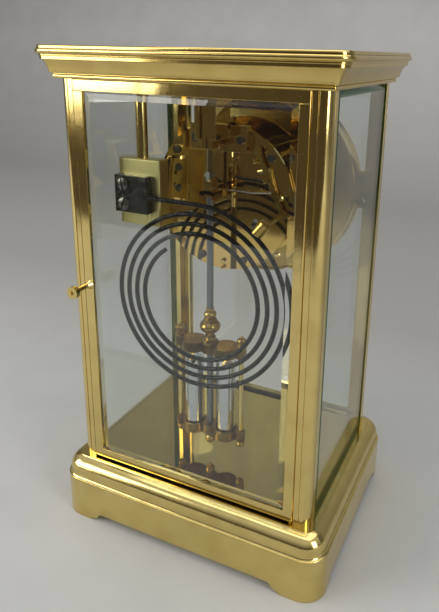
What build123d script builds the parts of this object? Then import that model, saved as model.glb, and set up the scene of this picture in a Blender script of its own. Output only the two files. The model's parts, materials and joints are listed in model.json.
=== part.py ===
from build123d import *
import math
import os

os.makedirs("parts", exist_ok=True)

# Frame: +Z up, origin at the middle of the foot, the dial faces -Y and the rear door +Y.
# All lengths are millimetres.

# Overall: the case stands in from the base's edge
total_height = 310.0
base_half_width = 94.05
base_half_depth = 73.75
case_side_setback = 12.55
case_end_setback = 11.55
case_half_width = base_half_width - case_side_setback
case_half_depth = base_half_depth - case_end_setback

# Base moulding
base_corner_radius = 15.0
fascia_height = 29.3
ledge_width = 0.5
ledge_cove_width = 1.2
ledge_cove_height = 2.4
fillet_rise = 0.9
ovolo_width = 6.9
ovolo_rise = 9.1
base_step = 0.5
base_wall = 9.0
base_deck = 8.2
floor_seat_rise = 3.8
foot_front_inset = 25.5
foot_side_inset = 16.2
foot_ogee_length = 9.5
foot_toe_height = 1.6
foot_recess_height = 6.0

# Cornice
cornice_reach = 11.2
cornice_half_width = case_half_width + cornice_reach
cornice_half_depth = case_half_depth + cornice_reach
cornice_corner_radius = 10.0
astragal_height = 2.4
astragal_inset = 8.5
quirk_height = 0.6
quirk_inset = 9.0
cavetto_foot_inset = 6.8
cavetto_head_inset = 3.4
cavetto_height = 7.3
cavetto_sag = 0.45
cornice_fillet_inset = 2.2
cornice_fillet_height = 1.9
cornice_neck_inset = 1.8
cornice_neck_height = 1.0
cornice_bead_height = 3.1
top_plate_thickness = 1.8
cornice_top = total_height - top_plate_thickness
cornice_bottom = cornice_top - astragal_height - quirk_height - cavetto_height
cornice_bottom -= cornice_fillet_height + cornice_neck_height + cornice_bead_height
top_plate_inset = 1.0
top_plate_edge = 1.1
cornice_deck = 3.0
cornice_rim = 20.7
ceiling_ledge = 6.0
ceiling_thickness = 3.0
ceiling_reveal = 0.3

# Corner posts
post_column_radius = 5.8
post_groove_width = 0.6
post_groove_depth = 0.7
post_side_strip = 4.8
post_depth = 11.2

# Floor plate
floor_thickness = 2.0
floor_margin = 0.2
door_swing_room = 0.9

# Glass
side_glass_thickness = 4.5
side_glass_edge = 2.8
side_glass_setback = 0.6
glass_bevel_seen = 4.0
glass_groove_depth = 2.0
door_glass_thickness = 4.0
door_glass_edge = 2.6
glass_clearance = 0.15

# Doors
post_face_width = 9.6
door_bottom_gap = 1.5
door_top_gap = 0.3
door_side_gap = 0.25
door_half_width = case_half_width - post_face_width - door_side_gap
door_thickness = 5.0
door_bar = 6.2
door_rebate = 1.3
door_lip = 2.0
door_joint_line = 0.3
hinge_inset = 2.0
hinge_pin_radius = 1.0
hinge_pin_length = 9.4
hinge_pin_in_case = 4.6
knob_above_middle = 0.35
knob_inset = 3.15
knob_reach = 15.8
knob_head_radius = 3.8
knob_head_length = 3.0
knob_hole_radius = 1.25
knob_hole_depth = 1.6
knob_neck_radius = 1.5
knob_flare_radius = 3.1
knob_flare_length = 2.4
knob_stem_radius = 1.2
latch_length = 6.0
latch_width = 4.0
latch_thickness = 1.2
latch_gap = 0.3

# Case screws
case_screw_radius = 1.5
case_screw_head_radius = 3.0
case_screw_head_length = 2.4
case_screw_length = 26.0
case_screw_inset = 5.4

# Gong
gong_x = 40.0
gong_door_room = 22.2
gong_y = case_half_depth - gong_door_room
gong_rod_radius = 3.4
gong_rod_above = 5.0
gong_rod_depth = 16.0
gong_nut_radius = 5.6
gong_nut_height = 5.9
gong_collar_radius = 4.7
gong_collar_height = 3.0
gong_lock_nut_height = 3.0
gong_block_left = 25.4
gong_block_right = 53.7
gong_block_rise = 24.6
gong_block_height = 40.1
gong_block_depth = 10.0
gong_block_edge = 0.5
gong_stud_left = 31.0
gong_stud_rise = 8.2
gong_stud_height = 22.5
gong_stud_thickness = 5.0
gong_stud_nose = 3.5
gong_screw_x = 47.4
gong_screw_spacing = 12.2
gong_screw_head_radius = 4.0
gong_screw_head_rise = 1.8
gong_screw_shank_radius = 2.0
gong_screw_slot_width = 0.9
gong_screw_slot_depth = 0.9
gong_screw_crown_angle = 50.0
gong_coil_x = -0.7
gong_lead_rise = 9.8
gong_coil_radius = 57.3
gong_coil_pitch = 5.85
gong_wire_radius = 1.4
gong_half_turns = 7
gong_tail_angle = 145.0

# Dial
dial_door_room = 19.2
dial_face_y = dial_door_room - case_half_depth
dial_thickness = 1.5
winding_hole_radius = 2.9
bezel_side_room = 17.0
bezel_behind_dial = 3.0
bezel_before_dial = 9.5
bezel_lip = 1.0
bezel_face_width = 4.5
bezel_cone_width = 1.8
bezel_radius = case_half_width - bezel_side_room
bezel_back_y = dial_face_y + bezel_behind_dial
bezel_front_y = dial_face_y - bezel_before_dial
bezel_flange_radius = bezel_radius + bezel_lip
bezel_flange_thickness = 1.3
bezel_sight_radius = bezel_radius - bezel_face_width
bezel_mouth_radius = bezel_sight_radius + bezel_cone_width
bezel_seat_wall = 1.0
dial_foot_radius = 1.6
dial_foot_circle = 36.0
dial_foot_angles = (30.0, 150.0, 270.0)
bracket_thickness = 2.7
bracket_body_radius = 7.0
bracket_lobe_radius = 4.5
bracket_lobe_rise = 8.0
bracket_pierce_radius = 1.7
bracket_tail_height = 9.0

# Hands
hand_thickness = 0.8
minute_hand_room = 14.0
hour_hand_room = 27.0
minute_hand_length = bezel_sight_radius - minute_hand_room
hour_hand_length = bezel_sight_radius - hour_hand_room
pipe_wall = 0.8
hand_hub_radius = 3.4
hand_root_width = 2.2
hand_tip_width = 0.8
hand_ring_radius = 3.0
hand_ring_hole_radius = 2.0
hand_ring_share = 0.74
hand_gap = 0.9
rest_minutes = 9.0
rest_hours = 10.0

# Movement plates
plate_radius = 46.6
plate_thickness = 2.0
back_plate_y = 14.0
plate_spacing = 33.0
pillar_radius = 2.6
pillar_waist_radius = 1.9
pillar_collar = 4.0
pillar_circle = 42.0
pillar_angles = (40.0, 140.0, 250.0, 290.0)
pillar_spigot_radius = 1.5
plate_screw_radius = 1.0
plate_screw_head_radius = 2.4
plate_screw_head_height = 1.6
plate_screw_length = 6.0
screw_slot_width = 0.6
screw_slot_depth = 0.6

# Arbors
arbor_radius = 0.6
pivot_radius = 0.4
pivot_clearance = 0.05
arbor_shake = 0.2
centre_arbor_radius = 1.0
barrel_x = 22.5
barrel_drop = 12.5
pallet_rise = 31.7
escape_drop = 15.0
strike_second_angle = 100.0
pin_wheel_angle = 50.0
fly_angle = 80.0

# Gear trains: tooth counts and modules
barrel_teeth = 84
second_pinion_leaves = 12
second_teeth = 80
centre_pinion_leaves = 10
centre_teeth = 72
third_pinion_leaves = 6
third_teeth = 72
escape_pinion_leaves = 6
escape_teeth = 30
pin_wheel_teeth = 60
fly_pinion_leaves = 6
cannon_leaves = 12
minute_wheel_teeth = 36
minute_pinion_leaves = 10
hour_wheel_teeth = 40
ratchet_teeth = 24
barrel_module = 0.43
second_module = 0.36
centre_module = 0.40
third_module = 0.36
strike_module = 0.36
cannon_module = 0.50
hour_module = 0.48

# Tooth forms: heights as shares of the module, widths as shares of the tooth spacing
wheel_tooth_shares = ((-1.2, 0.45), (0.0, 0.38), (0.8, 0.14))
leaf_shares = ((-1.6, 0.18), (0.0, 0.26), (0.5, 0.14))

# Wheels
wheel_thickness = 1.4
pinion_length = 2.6
rim_width = 2.0
hub_radius = 2.6
spoke_width = 1.3
wheel_arms = 5
light_wheel_arms = 4
barrel_wall = 1.6
barrel_length = 16.0
barrel_recess = 0.8
winding_arbor_radius = 2.0
winding_pivot_radius = 1.5
winding_square = 3.0
ratchet_radius = 8.0
ratchet_tooth_height = 1.1
ratchet_drop_share = 0.1
escape_wheel_radius = 11.5
escape_tooth_height = 1.9
escape_tooth_share = 0.25
pallet_clearance = 0.9
pallet_angle = 45.0
anchor_hub_radius = 2.2
anchor_arm_width = 1.8
fly_radius = 6.5
fly_length = 6.8
fly_thickness = 0.5
pin_wheel_pins = 8
pin_radius = 0.5
pin_length = 2.6
pin_inset = 1.8

# Wheel layers: the front face of each wheel in Y
front_layer_y = -19.0
third_layer_y = -15.2
barrel_front_y = -12.0
escape_layer_y = -9.0
fly_front_y = -6.0
pin_wheel_y = 2.0
barrel_rim_y = 4.0
centre_layer_y = 8.0
cannon_y = -26.0
minute_wheel_y = -25.8
hour_wheel_y = -29.4

# Hammer
hammer_x = -24.5
hammer_rise = 30.5
hammer_direction = 129.8
hammer_gap = 0.8
hammer_head_radius = 3.6
hammer_head_length = 8.0
hammer_arm_width = 2.6
hammer_arm_thickness = 1.8
hammer_stem_radius = 1.1
hammer_tail_width = 1.6
hammer_tail_length = 3.6

# Suspension
cock_foot_inner = 7.8
cock_foot_outer = 18.8
cock_foot_drop = 2.4
cock_foot_height = 15.7
cock_foot_depth = 6.0
cock_rise = 27.0
cock_cheek_inner = 3.7
cock_cheek_outer = 7.0
cock_reach = 36.0
cock_bridge_thickness = 2.0
cock_bridge_rise = 5.0
cock_cheek_drop = 21.0
cock_screw_x = 15.0
cock_screw_rise = 5.0
suspension_y = 30.0
suspension_block_half = 3.3
suspension_block_depth = 8.0
suspension_block_drop = 1.0
suspension_block_gap = 0.4
suspension_pin_radius = 0.8
suspension_pin_drop = 7.0
spring_thickness = 0.3
spring_width = 6.0
spring_drop = 13.0
spring_slot_half = 0.35
spring_slot_height = 7.0
spring_in_clamp = 1.0
clamp_height = 5.0
clamp_half = 1.3
clamp_pin_radius = 0.7
clamp_pin_half = 3.4

# Crutch
crutch_width = 3.2
crutch_thickness = 1.6
crutch_gap = 1.0
crutch_drop = 29.0
crutch_fork_height = 4.4
crutch_prong = 1.4
crutch_fork_gap = 0.4

# Pendulum
rod_radius = 2.1
hook_half_width = 2.9
hook_cheek = 1.2
hook_drop = 28.0
hook_height = 12.0
hook_depth = 6.0
rod_in_hook = 1.0
jar_spacing = 22.9
jar_radius = 6.4
jar_wall = 1.0
jar_bottom_thickness = 1.3
jar_seat_clearance = 0.1
mercury_top = 118.0
mercury_clearance = 0.05
cap_bottom = 124.5
cap_top = 131.0
cap_roof = 1.2
cap_lobe_radius = 8.0
cap_waist_radius = 5.4
cap_ear_x = 22.3
cap_ear_radius = 3.1
cap_neck_height = 3.4
tray_bottom = 65.5
tray_top = 72.0
tray_floor = 1.0
tie_rod_radius = 1.5
tie_rod_above = 7.0
tie_rod_below = 4.5
finial_nut_radius = 2.8
finial_nut_height = 9.0
finial_foot_height = 5.5
finial_bore_clearance = 0.05
finial_waist_inset = 0.5
finial_tip_bevel = 1.0
bulb_base_radius = 6.2
bulb_base_height = 1.6
bulb_lower_radius = 3.8
bulb_lower_z = 134.9
bulb_main_radius = 7.0
bulb_main_z = 141.5
bulb_upper_radius = 4.5
bulb_upper_z = 149.0
bulb_collar_radius = 3.0
bulb_top = 154.5
bob_nut_radius = 4.2
bob_nut_bottom = 55.4
bob_nut_collar = 2.4
rod_end_z = 58.0

# One overrun serves every cut
overrun = 1.0

# Clearances, and the middle of a quarter arc as a share of its radius
quarter_arc_share = math.sqrt(0.5)
fit = 0.05
touch_gap = 0.3

# The movement hangs low enough for its bezel and for its cock; the gong goes with it
bezel_top_room = 4.1
cock_top_room = 10.9
dial_hang = max(bezel_flange_radius + bezel_top_room, pallet_rise + cock_rise + cock_top_room)
dial_z = cornice_bottom - dial_hang
pallet_z = dial_z + pallet_rise
hammer_z = dial_z + hammer_rise
cock_foot_bottom = pallet_z - cock_foot_drop
cock_foot_top = cock_foot_bottom + cock_foot_height
cock_top = pallet_z + cock_rise
cock_screw_z = pallet_z + cock_screw_rise
suspension_block_top = cock_top - suspension_block_drop
spring_bottom = pallet_z - spring_drop
crutch_bottom = pallet_z - crutch_drop
hook_bottom = pallet_z - hook_drop
gong_block_top = dial_z + gong_block_rise
gong_block_bottom = gong_block_top - gong_block_height
gong_stud_bottom = gong_block_bottom + gong_stud_rise
gong_stud_top = gong_stud_bottom + gong_stud_height
gong_coil_z = gong_stud_bottom + gong_lead_rise - gong_coil_radius

# Places worked out from the sizes above
base_height = fascia_height + ledge_cove_height + fillet_rise + ovolo_rise + base_step
floor_seat_top = base_height + floor_seat_rise
case_height = cornice_bottom - base_height
post_inner_x = door_half_width + door_side_gap
post_inner_y = case_half_depth - post_depth
side_glass_inner_x = case_half_width - side_glass_setback - side_glass_thickness
side_glass_lip_x = side_glass_inner_x + side_glass_edge
door_inner_y = case_half_depth - door_thickness
door_bottom = base_height + door_bottom_gap
door_top = cornice_bottom - door_top_gap
door_height = door_top - door_bottom
door_mid_z = (door_top + door_bottom) / 2
knob_height = door_mid_z + knob_above_middle
hinge_x = -(door_half_width - hinge_inset)
hinge_y = case_half_depth - hinge_inset
knob_x = door_half_width - knob_inset
front_plate_y = back_plate_y - plate_thickness - plate_spacing
back_inner_y = back_plate_y - plate_thickness
front_face_y = front_plate_y - plate_thickness
case_screw_x = case_half_width - case_screw_inset
case_screw_y = case_half_depth - case_screw_inset
jar_half_spacing = jar_spacing / 2
ceiling_bottom = cornice_bottom + ceiling_reveal
ceiling_top = ceiling_bottom + ceiling_thickness
gong_plane_y = gong_y + gong_block_depth / 2 + gong_stud_thickness / 2


def save(piece, label):
    piece.part.label = label
    export_step(piece.part, f"parts/{label}.step")


# Planes: an upright axis, and an axis that runs from front to back
def upright(x, y):
    return Plane(origin=(x, y, 0), x_dir=(1, 0, 0), z_dir=(0, -1, 0))


def lengthwise(x, z):
    return Plane(origin=(x, 0, z), x_dir=(1, 0, 0), z_dir=(0, 0, 1))


# A plane that faces along +Y, with X to the right as seen from the front and Z up
def facing(y):
    return Plane(origin=(0, y, 0), x_dir=(1, 0, 0), z_dir=(0, -1, 0))


# A closed outline, turned round the plane's own Y axis
def turned(points, plane, mode=Mode.ADD):
    with BuildSketch(plane) as section:
        with BuildLine():
            Polyline(points, close=True)
        make_face()
    revolve(section.sketch, axis=Axis(plane.origin, plane.y_dir), mode=mode)


# A round bar along Y from one Y to another
def bar_along_y(x, z, start, end, radius, mode=Mode.ADD):
    turned(((0, start), (radius, start), (radius, end), (0, end)), lengthwise(x, z), mode)


# A round bar along Z from one height to another
def bar_along_z(x, y, start, end, radius, mode=Mode.ADD):
    turned(((0, start), (radius, start), (radius, end), (0, end)), upright(x, y), mode)


# A block between two corners
def block(low, high, mode=Mode.ADD):
    size = [b - a for a, b in zip(low, high)]
    middle = [(a + b) / 2 for a, b in zip(low, high)]
    with Locations(tuple(middle)):
        Box(*size, mode=mode)


# A moulding: one profile run along both sides and turned round the corner, then mirrored
def moulding(profile, centre_x, centre_y, bottom, top):
    side_run = Plane(origin=(centre_x, centre_y, 0), x_dir=(1, 0, 0), z_dir=(0, -1, 0))
    front_run = Plane(origin=(centre_x, centre_y, 0), x_dir=(0, 1, 0), z_dir=(1, 0, 0))
    extrude(profile(side_run), amount=centre_y)
    corner_axis = Axis((centre_x, centre_y, 0), (0, 0, 1))
    revolve(profile(side_run), axis=corner_axis, revolution_arc=90)
    extrude(profile(front_run), amount=-centre_x)
    block((0, 0, bottom), (centre_x, centre_y, top))
    mirror(about=Plane.YZ)
    mirror(about=Plane.XZ)


# The four corners of a rectangle, as signs
corner_signs = ((1, 1), (-1, 1), (-1, -1), (1, -1))


# Base moulding
def base_profile(plane):
    r = base_corner_radius
    cove_top = fascia_height + ledge_cove_height
    ovolo_start = cove_top + fillet_rise
    ovolo_end = ovolo_start + ovolo_rise
    cove_r = r - ledge_width - ledge_cove_width
    ovolo_r = cove_r - ovolo_width
    bulge = quarter_arc_share
    with BuildSketch(plane) as profile:
        with BuildLine():
            Polyline((0, 0), (r, 0), (r, fascia_height), (r - ledge_width, fascia_height))
            cove_mid = (
                r - ledge_width - ledge_cove_width * bulge,
                fascia_height + ledge_cove_height * (1 - bulge),
            )
            ThreePointArc((r - ledge_width, fascia_height), cove_mid, (cove_r, cove_top))
            Line((cove_r, cove_top), (cove_r, ovolo_start))
            ovolo_mid = (ovolo_r + ovolo_width * bulge, ovolo_start + ovolo_rise * bulge)
            ThreePointArc((cove_r, ovolo_start), ovolo_mid, (ovolo_r, ovolo_end))
            Polyline((ovolo_r, ovolo_end), (ovolo_r, base_height), (0, base_height), (0, 0))
        make_face()
    return profile.sketch


# The space between two bracket feet, with an ogee at each end
def foot_gap(plane, half_gap):
    mid_z = (foot_toe_height + foot_recess_height) / 2
    half_rise = (foot_recess_height - foot_toe_height) / 2
    half_ogee = foot_ogee_length / 2
    bulge = quarter_arc_share
    with BuildSketch(plane) as gap:
        with BuildLine():
            for s in (-1, 1):
                toe = s * half_gap
                knee = s * (half_gap - half_ogee)
                heel = s * (half_gap - foot_ogee_length)
                lower = (toe - s * half_ogee * bulge, mid_z - half_rise * bulge)
                upper = (heel + s * half_ogee * bulge, mid_z + half_rise * bulge)
                Line((toe, 0), (toe, foot_toe_height))
                ThreePointArc((toe, foot_toe_height), lower, (knee, mid_z))
                ThreePointArc((knee, mid_z), upper, (heel, foot_recess_height))
            inner = half_gap - foot_ogee_length
            Line((-inner, foot_recess_height), (inner, foot_recess_height))
            Polyline((-half_gap, 0), (-half_gap, -overrun), (half_gap, -overrun), (half_gap, 0))
        make_face()
    return gap.sketch


def glass_slots(bottom, top):
    for s in (-1, 1):
        near = side_glass_inner_x - glass_clearance
        far = side_glass_lip_x + glass_clearance
        low_x, high_x = sorted((s * near, s * far))
        reach = post_inner_y + glass_groove_depth
        block((low_x, -reach, bottom), (high_x, reach, top), mode=Mode.SUBTRACT)


hinge_places = ((hinge_x, hinge_y), (hinge_x, -hinge_y))
case_screw_places = [(sx * case_screw_x, sy * case_screw_y) for sx, sy in corner_signs]

with BuildPart() as base_moulding:
    base_centre_x = base_half_width - base_corner_radius
    base_centre_y = base_half_depth - base_corner_radius
    moulding(base_profile, base_centre_x, base_centre_y, 0, base_height)
    with BuildSketch(Plane.XY.offset(base_height)):
        seat_x = side_glass_inner_x - base_wall
        Rectangle(2 * seat_x, 2 * post_inner_y)
    extrude(amount=floor_seat_rise)
    cavity_x = base_half_width - base_wall
    cavity_y = base_half_depth - base_wall
    with BuildSketch(Plane.XY):
        RectangleRounded(2 * cavity_x, 2 * cavity_y, base_corner_radius - base_wall)
    extrude(amount=base_height - base_deck, mode=Mode.SUBTRACT)
    front_gap = foot_gap(Plane.XZ, base_half_width - foot_front_inset)
    extrude(front_gap, amount=base_half_depth + overrun, both=True, mode=Mode.SUBTRACT)
    side_gap = foot_gap(Plane.YZ, base_half_depth - foot_side_inset)
    extrude(side_gap, amount=base_half_width + overrun, both=True, mode=Mode.SUBTRACT)
    glass_slots(base_height - glass_groove_depth, base_height + overrun)
    for x, y in hinge_places:
        hole_bottom = base_height - hinge_pin_in_case
        bar_along_z(x, y, hole_bottom, base_height, hinge_pin_radius + fit, Mode.SUBTRACT)
    for x, y in case_screw_places:
        hole_radius = case_screw_radius + fit
        bar_along_z(x, y, 0, base_height, hole_radius, Mode.SUBTRACT)
save(base_moulding, "base_moulding")

# Floor plate: a cross-shaped mirror plate between the posts
floor_half_x = side_glass_inner_x - floor_margin
floor_half_y = door_inner_y - door_swing_room
with BuildPart() as floor_plate:
    with BuildSketch(Plane.XY.offset(floor_seat_top)):
        Rectangle(2 * floor_half_x, 2 * (post_inner_y - floor_margin))
        Rectangle(2 * (post_inner_x - floor_margin), 2 * floor_half_y)
    extrude(amount=floor_thickness)
save(floor_plate, "floor_plate")


# Corner post: a strip beside the door, a quarter-round column and a strip over the glass
def post_section(sx, sy):
    w, d = case_half_width, case_half_depth
    column_x = w - post_column_radius
    column_y = d - post_column_radius
    groove_x = column_x - post_groove_width
    groove_y = column_y - post_groove_width
    bulge = post_column_radius * quarter_arc_share
    inner_y = groove_y - post_side_strip
    slot_near = side_glass_inner_x - glass_clearance
    slot_far = side_glass_lip_x + glass_clearance
    slot_end = inner_y + glass_groove_depth
    with BuildSketch(Plane.XY.offset(base_height)) as section:
        with BuildLine():
            Polyline(
                (sx * column_x, sy * d),
                (sx * column_x, sy * (d - post_groove_depth)),
                (sx * groove_x, sy * (d - post_groove_depth)),
                (sx * groove_x, sy * d),
                (sx * post_inner_x, sy * d),
                (sx * post_inner_x, sy * inner_y),
                (sx * slot_near, sy * inner_y),
                (sx * slot_near, sy * slot_end),
                (sx * slot_far, sy * slot_end),
                (sx * slot_far, sy * inner_y),
                (sx * w, sy * inner_y),
                (sx * w, sy * groove_y),
                (sx * (w - post_groove_depth), sy * groove_y),
                (sx * (w - post_groove_depth), sy * column_y),
                (sx * w, sy * column_y),
            )
            ThreePointArc(
                (sx * w, sy * column_y),
                (sx * (column_x + bulge), sy * (column_y + bulge)),
                (sx * column_x, sy * d),
            )
        make_face()
    return section.sketch


post_names = ("rear_left_post", "rear_right_post", "front_right_post", "front_left_post")
latch_outer_y = door_inner_y - latch_gap
latch_inner_y = latch_outer_y - latch_thickness
for (sx, sy), post_name in zip(corner_signs, post_names):
    with BuildPart() as post:
        extrude(post_section(sx, sy), amount=case_height)
        x, y = sx * case_screw_x, sy * case_screw_y
        screw_depth = case_screw_length - base_deck + overrun
        hole_radius = case_screw_radius + fit
        bar_along_z(x, y, base_height, base_height + screw_depth, hole_radius, Mode.SUBTRACT)
        bar_along_z(x, y, cornice_bottom - screw_depth, cornice_bottom, hole_radius, Mode.SUBTRACT)
        if sx > 0:
            pocket_y = sorted((sy * (latch_inner_y - latch_gap), sy * (latch_outer_y + latch_gap)))
            pocket_reach = latch_length + latch_gap
            block(
                (post_inner_x - overrun, pocket_y[0], knob_height - pocket_reach),
                (knob_x + pocket_reach, pocket_y[1], knob_height + pocket_reach),
                mode=Mode.SUBTRACT,
            )
    save(post, post_name)


# Bevelled plate glass: its inner face lies on the plane, and outside a flat rim that hides
# in the groove is followed by the bevel
def bevelled_glass(plane, width, height, edge, thickness, rim_width):
    bevel_start = 2 * rim_width
    bevel_end = 2 * (rim_width + glass_bevel_seen)
    with BuildSketch(plane) as back:
        Rectangle(width, height)
    extrude(back.sketch, amount=edge)
    with BuildSketch(plane.offset(edge)) as rim:
        Rectangle(width - bevel_start, height - bevel_start)
    with BuildSketch(plane.offset(thickness)) as face:
        Rectangle(width - bevel_end, height - bevel_end)
    loft([rim.sketch, face.sketch], ruled=True)


side_glass_half = post_inner_y + glass_groove_depth - glass_clearance
side_glass_height = case_height + 2 * (glass_groove_depth - glass_clearance)
case_mid_z = (base_height + cornice_bottom) / 2
for s, glass_name in ((1, "left_side_glass"), (-1, "right_side_glass")):
    glass_plane = Plane(
        origin=(s * side_glass_inner_x, 0, case_mid_z), x_dir=(0, s, 0), z_dir=(s, 0, 0)
    )
    with BuildPart() as side_glass:
        bevelled_glass(
            glass_plane,
            2 * side_glass_half,
            side_glass_height,
            side_glass_edge,
            side_glass_thickness,
            glass_groove_depth,
        )
    save(side_glass, glass_name)


# Cornice, from the astragal over the posts up to the large bead
def cornice_profile(plane):
    r = cornice_corner_radius
    z = cornice_bottom
    astragal_r = r - astragal_inset
    half_bead = astragal_height / 2
    quirk_r = r - quirk_inset
    cavetto_z = z + astragal_height + quirk_height
    foot_r = r - cavetto_foot_inset
    head_r = r - cavetto_head_inset
    cavetto_top = cavetto_z + cavetto_height
    fillet_r = r - cornice_fillet_inset
    fillet_top = cavetto_top + cornice_fillet_height
    neck_r = r - cornice_neck_inset
    neck_top = fillet_top + cornice_neck_height
    bead_half = cornice_bead_height / 2
    bead_r = r - bead_half
    bead_top = neck_top + cornice_bead_height
    with BuildSketch(plane) as profile:
        with BuildLine():
            Polyline((0, z), (quirk_r, z))
            ThreePointArc(
                (quirk_r, z), (astragal_r, z + half_bead), (quirk_r, z + astragal_height)
            )
            Polyline(
                (quirk_r, z + astragal_height), (quirk_r, cavetto_z), (foot_r, cavetto_z)
            )
            cavetto_mid = (
                (foot_r + head_r) / 2 - cavetto_sag,
                (cavetto_z + cavetto_top) / 2 + cavetto_sag,
            )
            ThreePointArc((foot_r, cavetto_z), cavetto_mid, (head_r, cavetto_top))
            Polyline(
                (head_r, cavetto_top),
                (fillet_r, cavetto_top),
                (fillet_r, fillet_top),
                (neck_r, fillet_top),
                (neck_r, neck_top),
                (bead_r, neck_top),
            )
            ThreePointArc((bead_r, neck_top), (r, neck_top + bead_half), (bead_r, bead_top))
            Polyline((bead_r, bead_top), (0, bead_top), (0, z))
        make_face()
    return profile.sketch


cornice_opening_x = cornice_half_width - cornice_rim
cornice_opening_y = cornice_half_depth - cornice_rim
with BuildPart() as cornice:
    moulding(
        cornice_profile,
        cornice_half_width - cornice_corner_radius,
        cornice_half_depth - cornice_corner_radius,
        cornice_bottom,
        cornice_top,
    )
    with BuildSketch(Plane.XY.offset(cornice_bottom)):
        Rectangle(2 * cornice_opening_x, 2 * cornice_opening_y)
    extrude(amount=ceiling_top - cornice_bottom, mode=Mode.SUBTRACT)
    with BuildSketch(Plane.XY.offset(cornice_bottom)):
        Rectangle(
            2 * (cornice_opening_x - ceiling_ledge), 2 * (cornice_opening_y - ceiling_ledge)
        )
    extrude(amount=cornice_top - cornice_deck - cornice_bottom, mode=Mode.SUBTRACT)
    glass_slots(cornice_bottom - overrun, cornice_bottom + glass_groove_depth)
    for x, y in hinge_places:
        hole_top = cornice_bottom + hinge_pin_in_case
        bar_along_z(x, y, cornice_bottom, hole_top, hinge_pin_radius + fit, Mode.SUBTRACT)
    head_room = case_screw_head_length + touch_gap
    for x, y in case_screw_places:
        bar_along_z(x, y, cornice_bottom, cornice_top, case_screw_radius + fit, Mode.SUBTRACT)
        head_bottom = cornice_top - head_room
        head_radius = case_screw_head_radius + touch_gap
        bar_along_z(x, y, head_bottom, cornice_top, head_radius, Mode.SUBTRACT)
save(cornice, "cornice")

with BuildPart() as ceiling_plate:
    with BuildSketch(Plane.XY.offset(ceiling_bottom)):
        Rectangle(
            2 * (cornice_opening_x - floor_margin), 2 * (cornice_opening_y - floor_margin)
        )
        with Locations((gong_x, gong_y)):
            Circle(gong_rod_radius + fit, mode=Mode.SUBTRACT)
    extrude(amount=ceiling_thickness)
save(ceiling_plate, "ceiling_plate")

with BuildPart() as top_plate:
    with BuildSketch(Plane.XY.offset(cornice_top)):
        RectangleRounded(
            2 * (cornice_half_width - top_plate_inset),
            2 * (cornice_half_depth - top_plate_inset),
            cornice_corner_radius - top_plate_inset,
        )
    extrude(amount=total_height - cornice_top)
    fillet(top_plate.faces().sort_by(Axis.Z)[-1].edges(), radius=top_plate_edge)
save(top_plate, "top_plate")


# A slotted screw that points along Z from its seat, upwards or downwards
def upright_screw(x, y, seat, direction, length):
    tip = seat + direction * length
    head = seat - direction * case_screw_head_length
    slot_bottom = head + direction * screw_slot_depth
    bar_along_z(x, y, seat, tip, case_screw_radius)
    bar_along_z(x, y, head, seat, case_screw_head_radius)
    low_z, high_z = sorted((head, slot_bottom))
    half = screw_slot_width / 2
    reach = case_screw_head_radius + overrun
    block((x - reach, y - half, low_z), (x + reach, y + half, high_z), mode=Mode.SUBTRACT)


with BuildPart() as case_screws:
    for x, y in case_screw_places:
        upright_screw(x, y, base_height - base_deck, 1, case_screw_length)
        top_seat = cornice_top - head_room
        top_length = top_seat - cornice_bottom + case_screw_length - base_deck
        upright_screw(x, y, top_seat, -1, top_length)
save(case_screws, "case_screws")


# Doors: side is +1 at the rear and -1 at the front
def door_plane(side, y):
    return Plane(origin=(0, side * y, door_mid_z), x_dir=(-side, 0, 0), z_dir=(0, side, 0))


def door_frame(side):
    inner = door_plane(side, door_inner_y)
    opening_x = door_half_width - door_bar
    opening_z = door_height / 2 - door_bar
    with BuildSketch(inner) as outline:
        Rectangle(2 * door_half_width, door_height)
        Rectangle(2 * opening_x, 2 * opening_z, mode=Mode.SUBTRACT)
    extrude(outline.sketch, amount=door_thickness)
    with BuildSketch(inner) as rebate:
        Rectangle(2 * (opening_x + door_rebate), 2 * (opening_z + door_rebate))
    extrude(rebate.sketch, amount=door_thickness - door_lip, mode=Mode.SUBTRACT)


def door_details(side):
    for pin_z in (door_bottom, door_top):
        toward = 1 if pin_z == door_bottom else -1
        reach = hinge_pin_length - hinge_pin_in_case - door_bottom_gap + touch_gap
        low_z, high_z = sorted((pin_z, pin_z + toward * reach))
        hole_radius = hinge_pin_radius + 2 * fit
        bar_along_z(hinge_x, side * hinge_y, low_z, high_z, hole_radius, Mode.SUBTRACT)
    low_y, high_y = sorted((side * door_inner_y, side * case_half_depth))
    bar_along_y(knob_x, knob_height, low_y, high_y, knob_stem_radius + fit, Mode.SUBTRACT)
    line_top = door_top - door_bar
    outer_y = sorted(
        (side * (case_half_depth - door_joint_line), side * (case_half_depth + overrun))
    )
    for s in (-1, 1):
        line_x = sorted((s * (door_half_width - door_bar), s * (door_half_width + overrun)))
        block(
            (line_x[0], outer_y[0], line_top - door_joint_line),
            (line_x[1], outer_y[1], line_top),
            mode=Mode.SUBTRACT,
        )


# The hinge edge is rounded about the pin, so that it clears the post as the door opens
def hinge_edge(frame, side):
    uprights = frame.edges().filter_by(Axis.Z).group_by(Axis.X)[0]
    return uprights.sort_by(Axis.Y)[-1 if side > 0 else 0]


with BuildPart() as rear_door_frame:
    door_frame(1)
    fillet(hinge_edge(rear_door_frame, 1), radius=hinge_inset)
    door_details(1)
save(rear_door_frame, "rear_door_frame")

with BuildPart() as front_door_frame:
    door_frame(-1)
    fillet(hinge_edge(front_door_frame, -1), radius=hinge_inset)
    door_details(-1)
save(front_door_frame, "front_door_frame")

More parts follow.
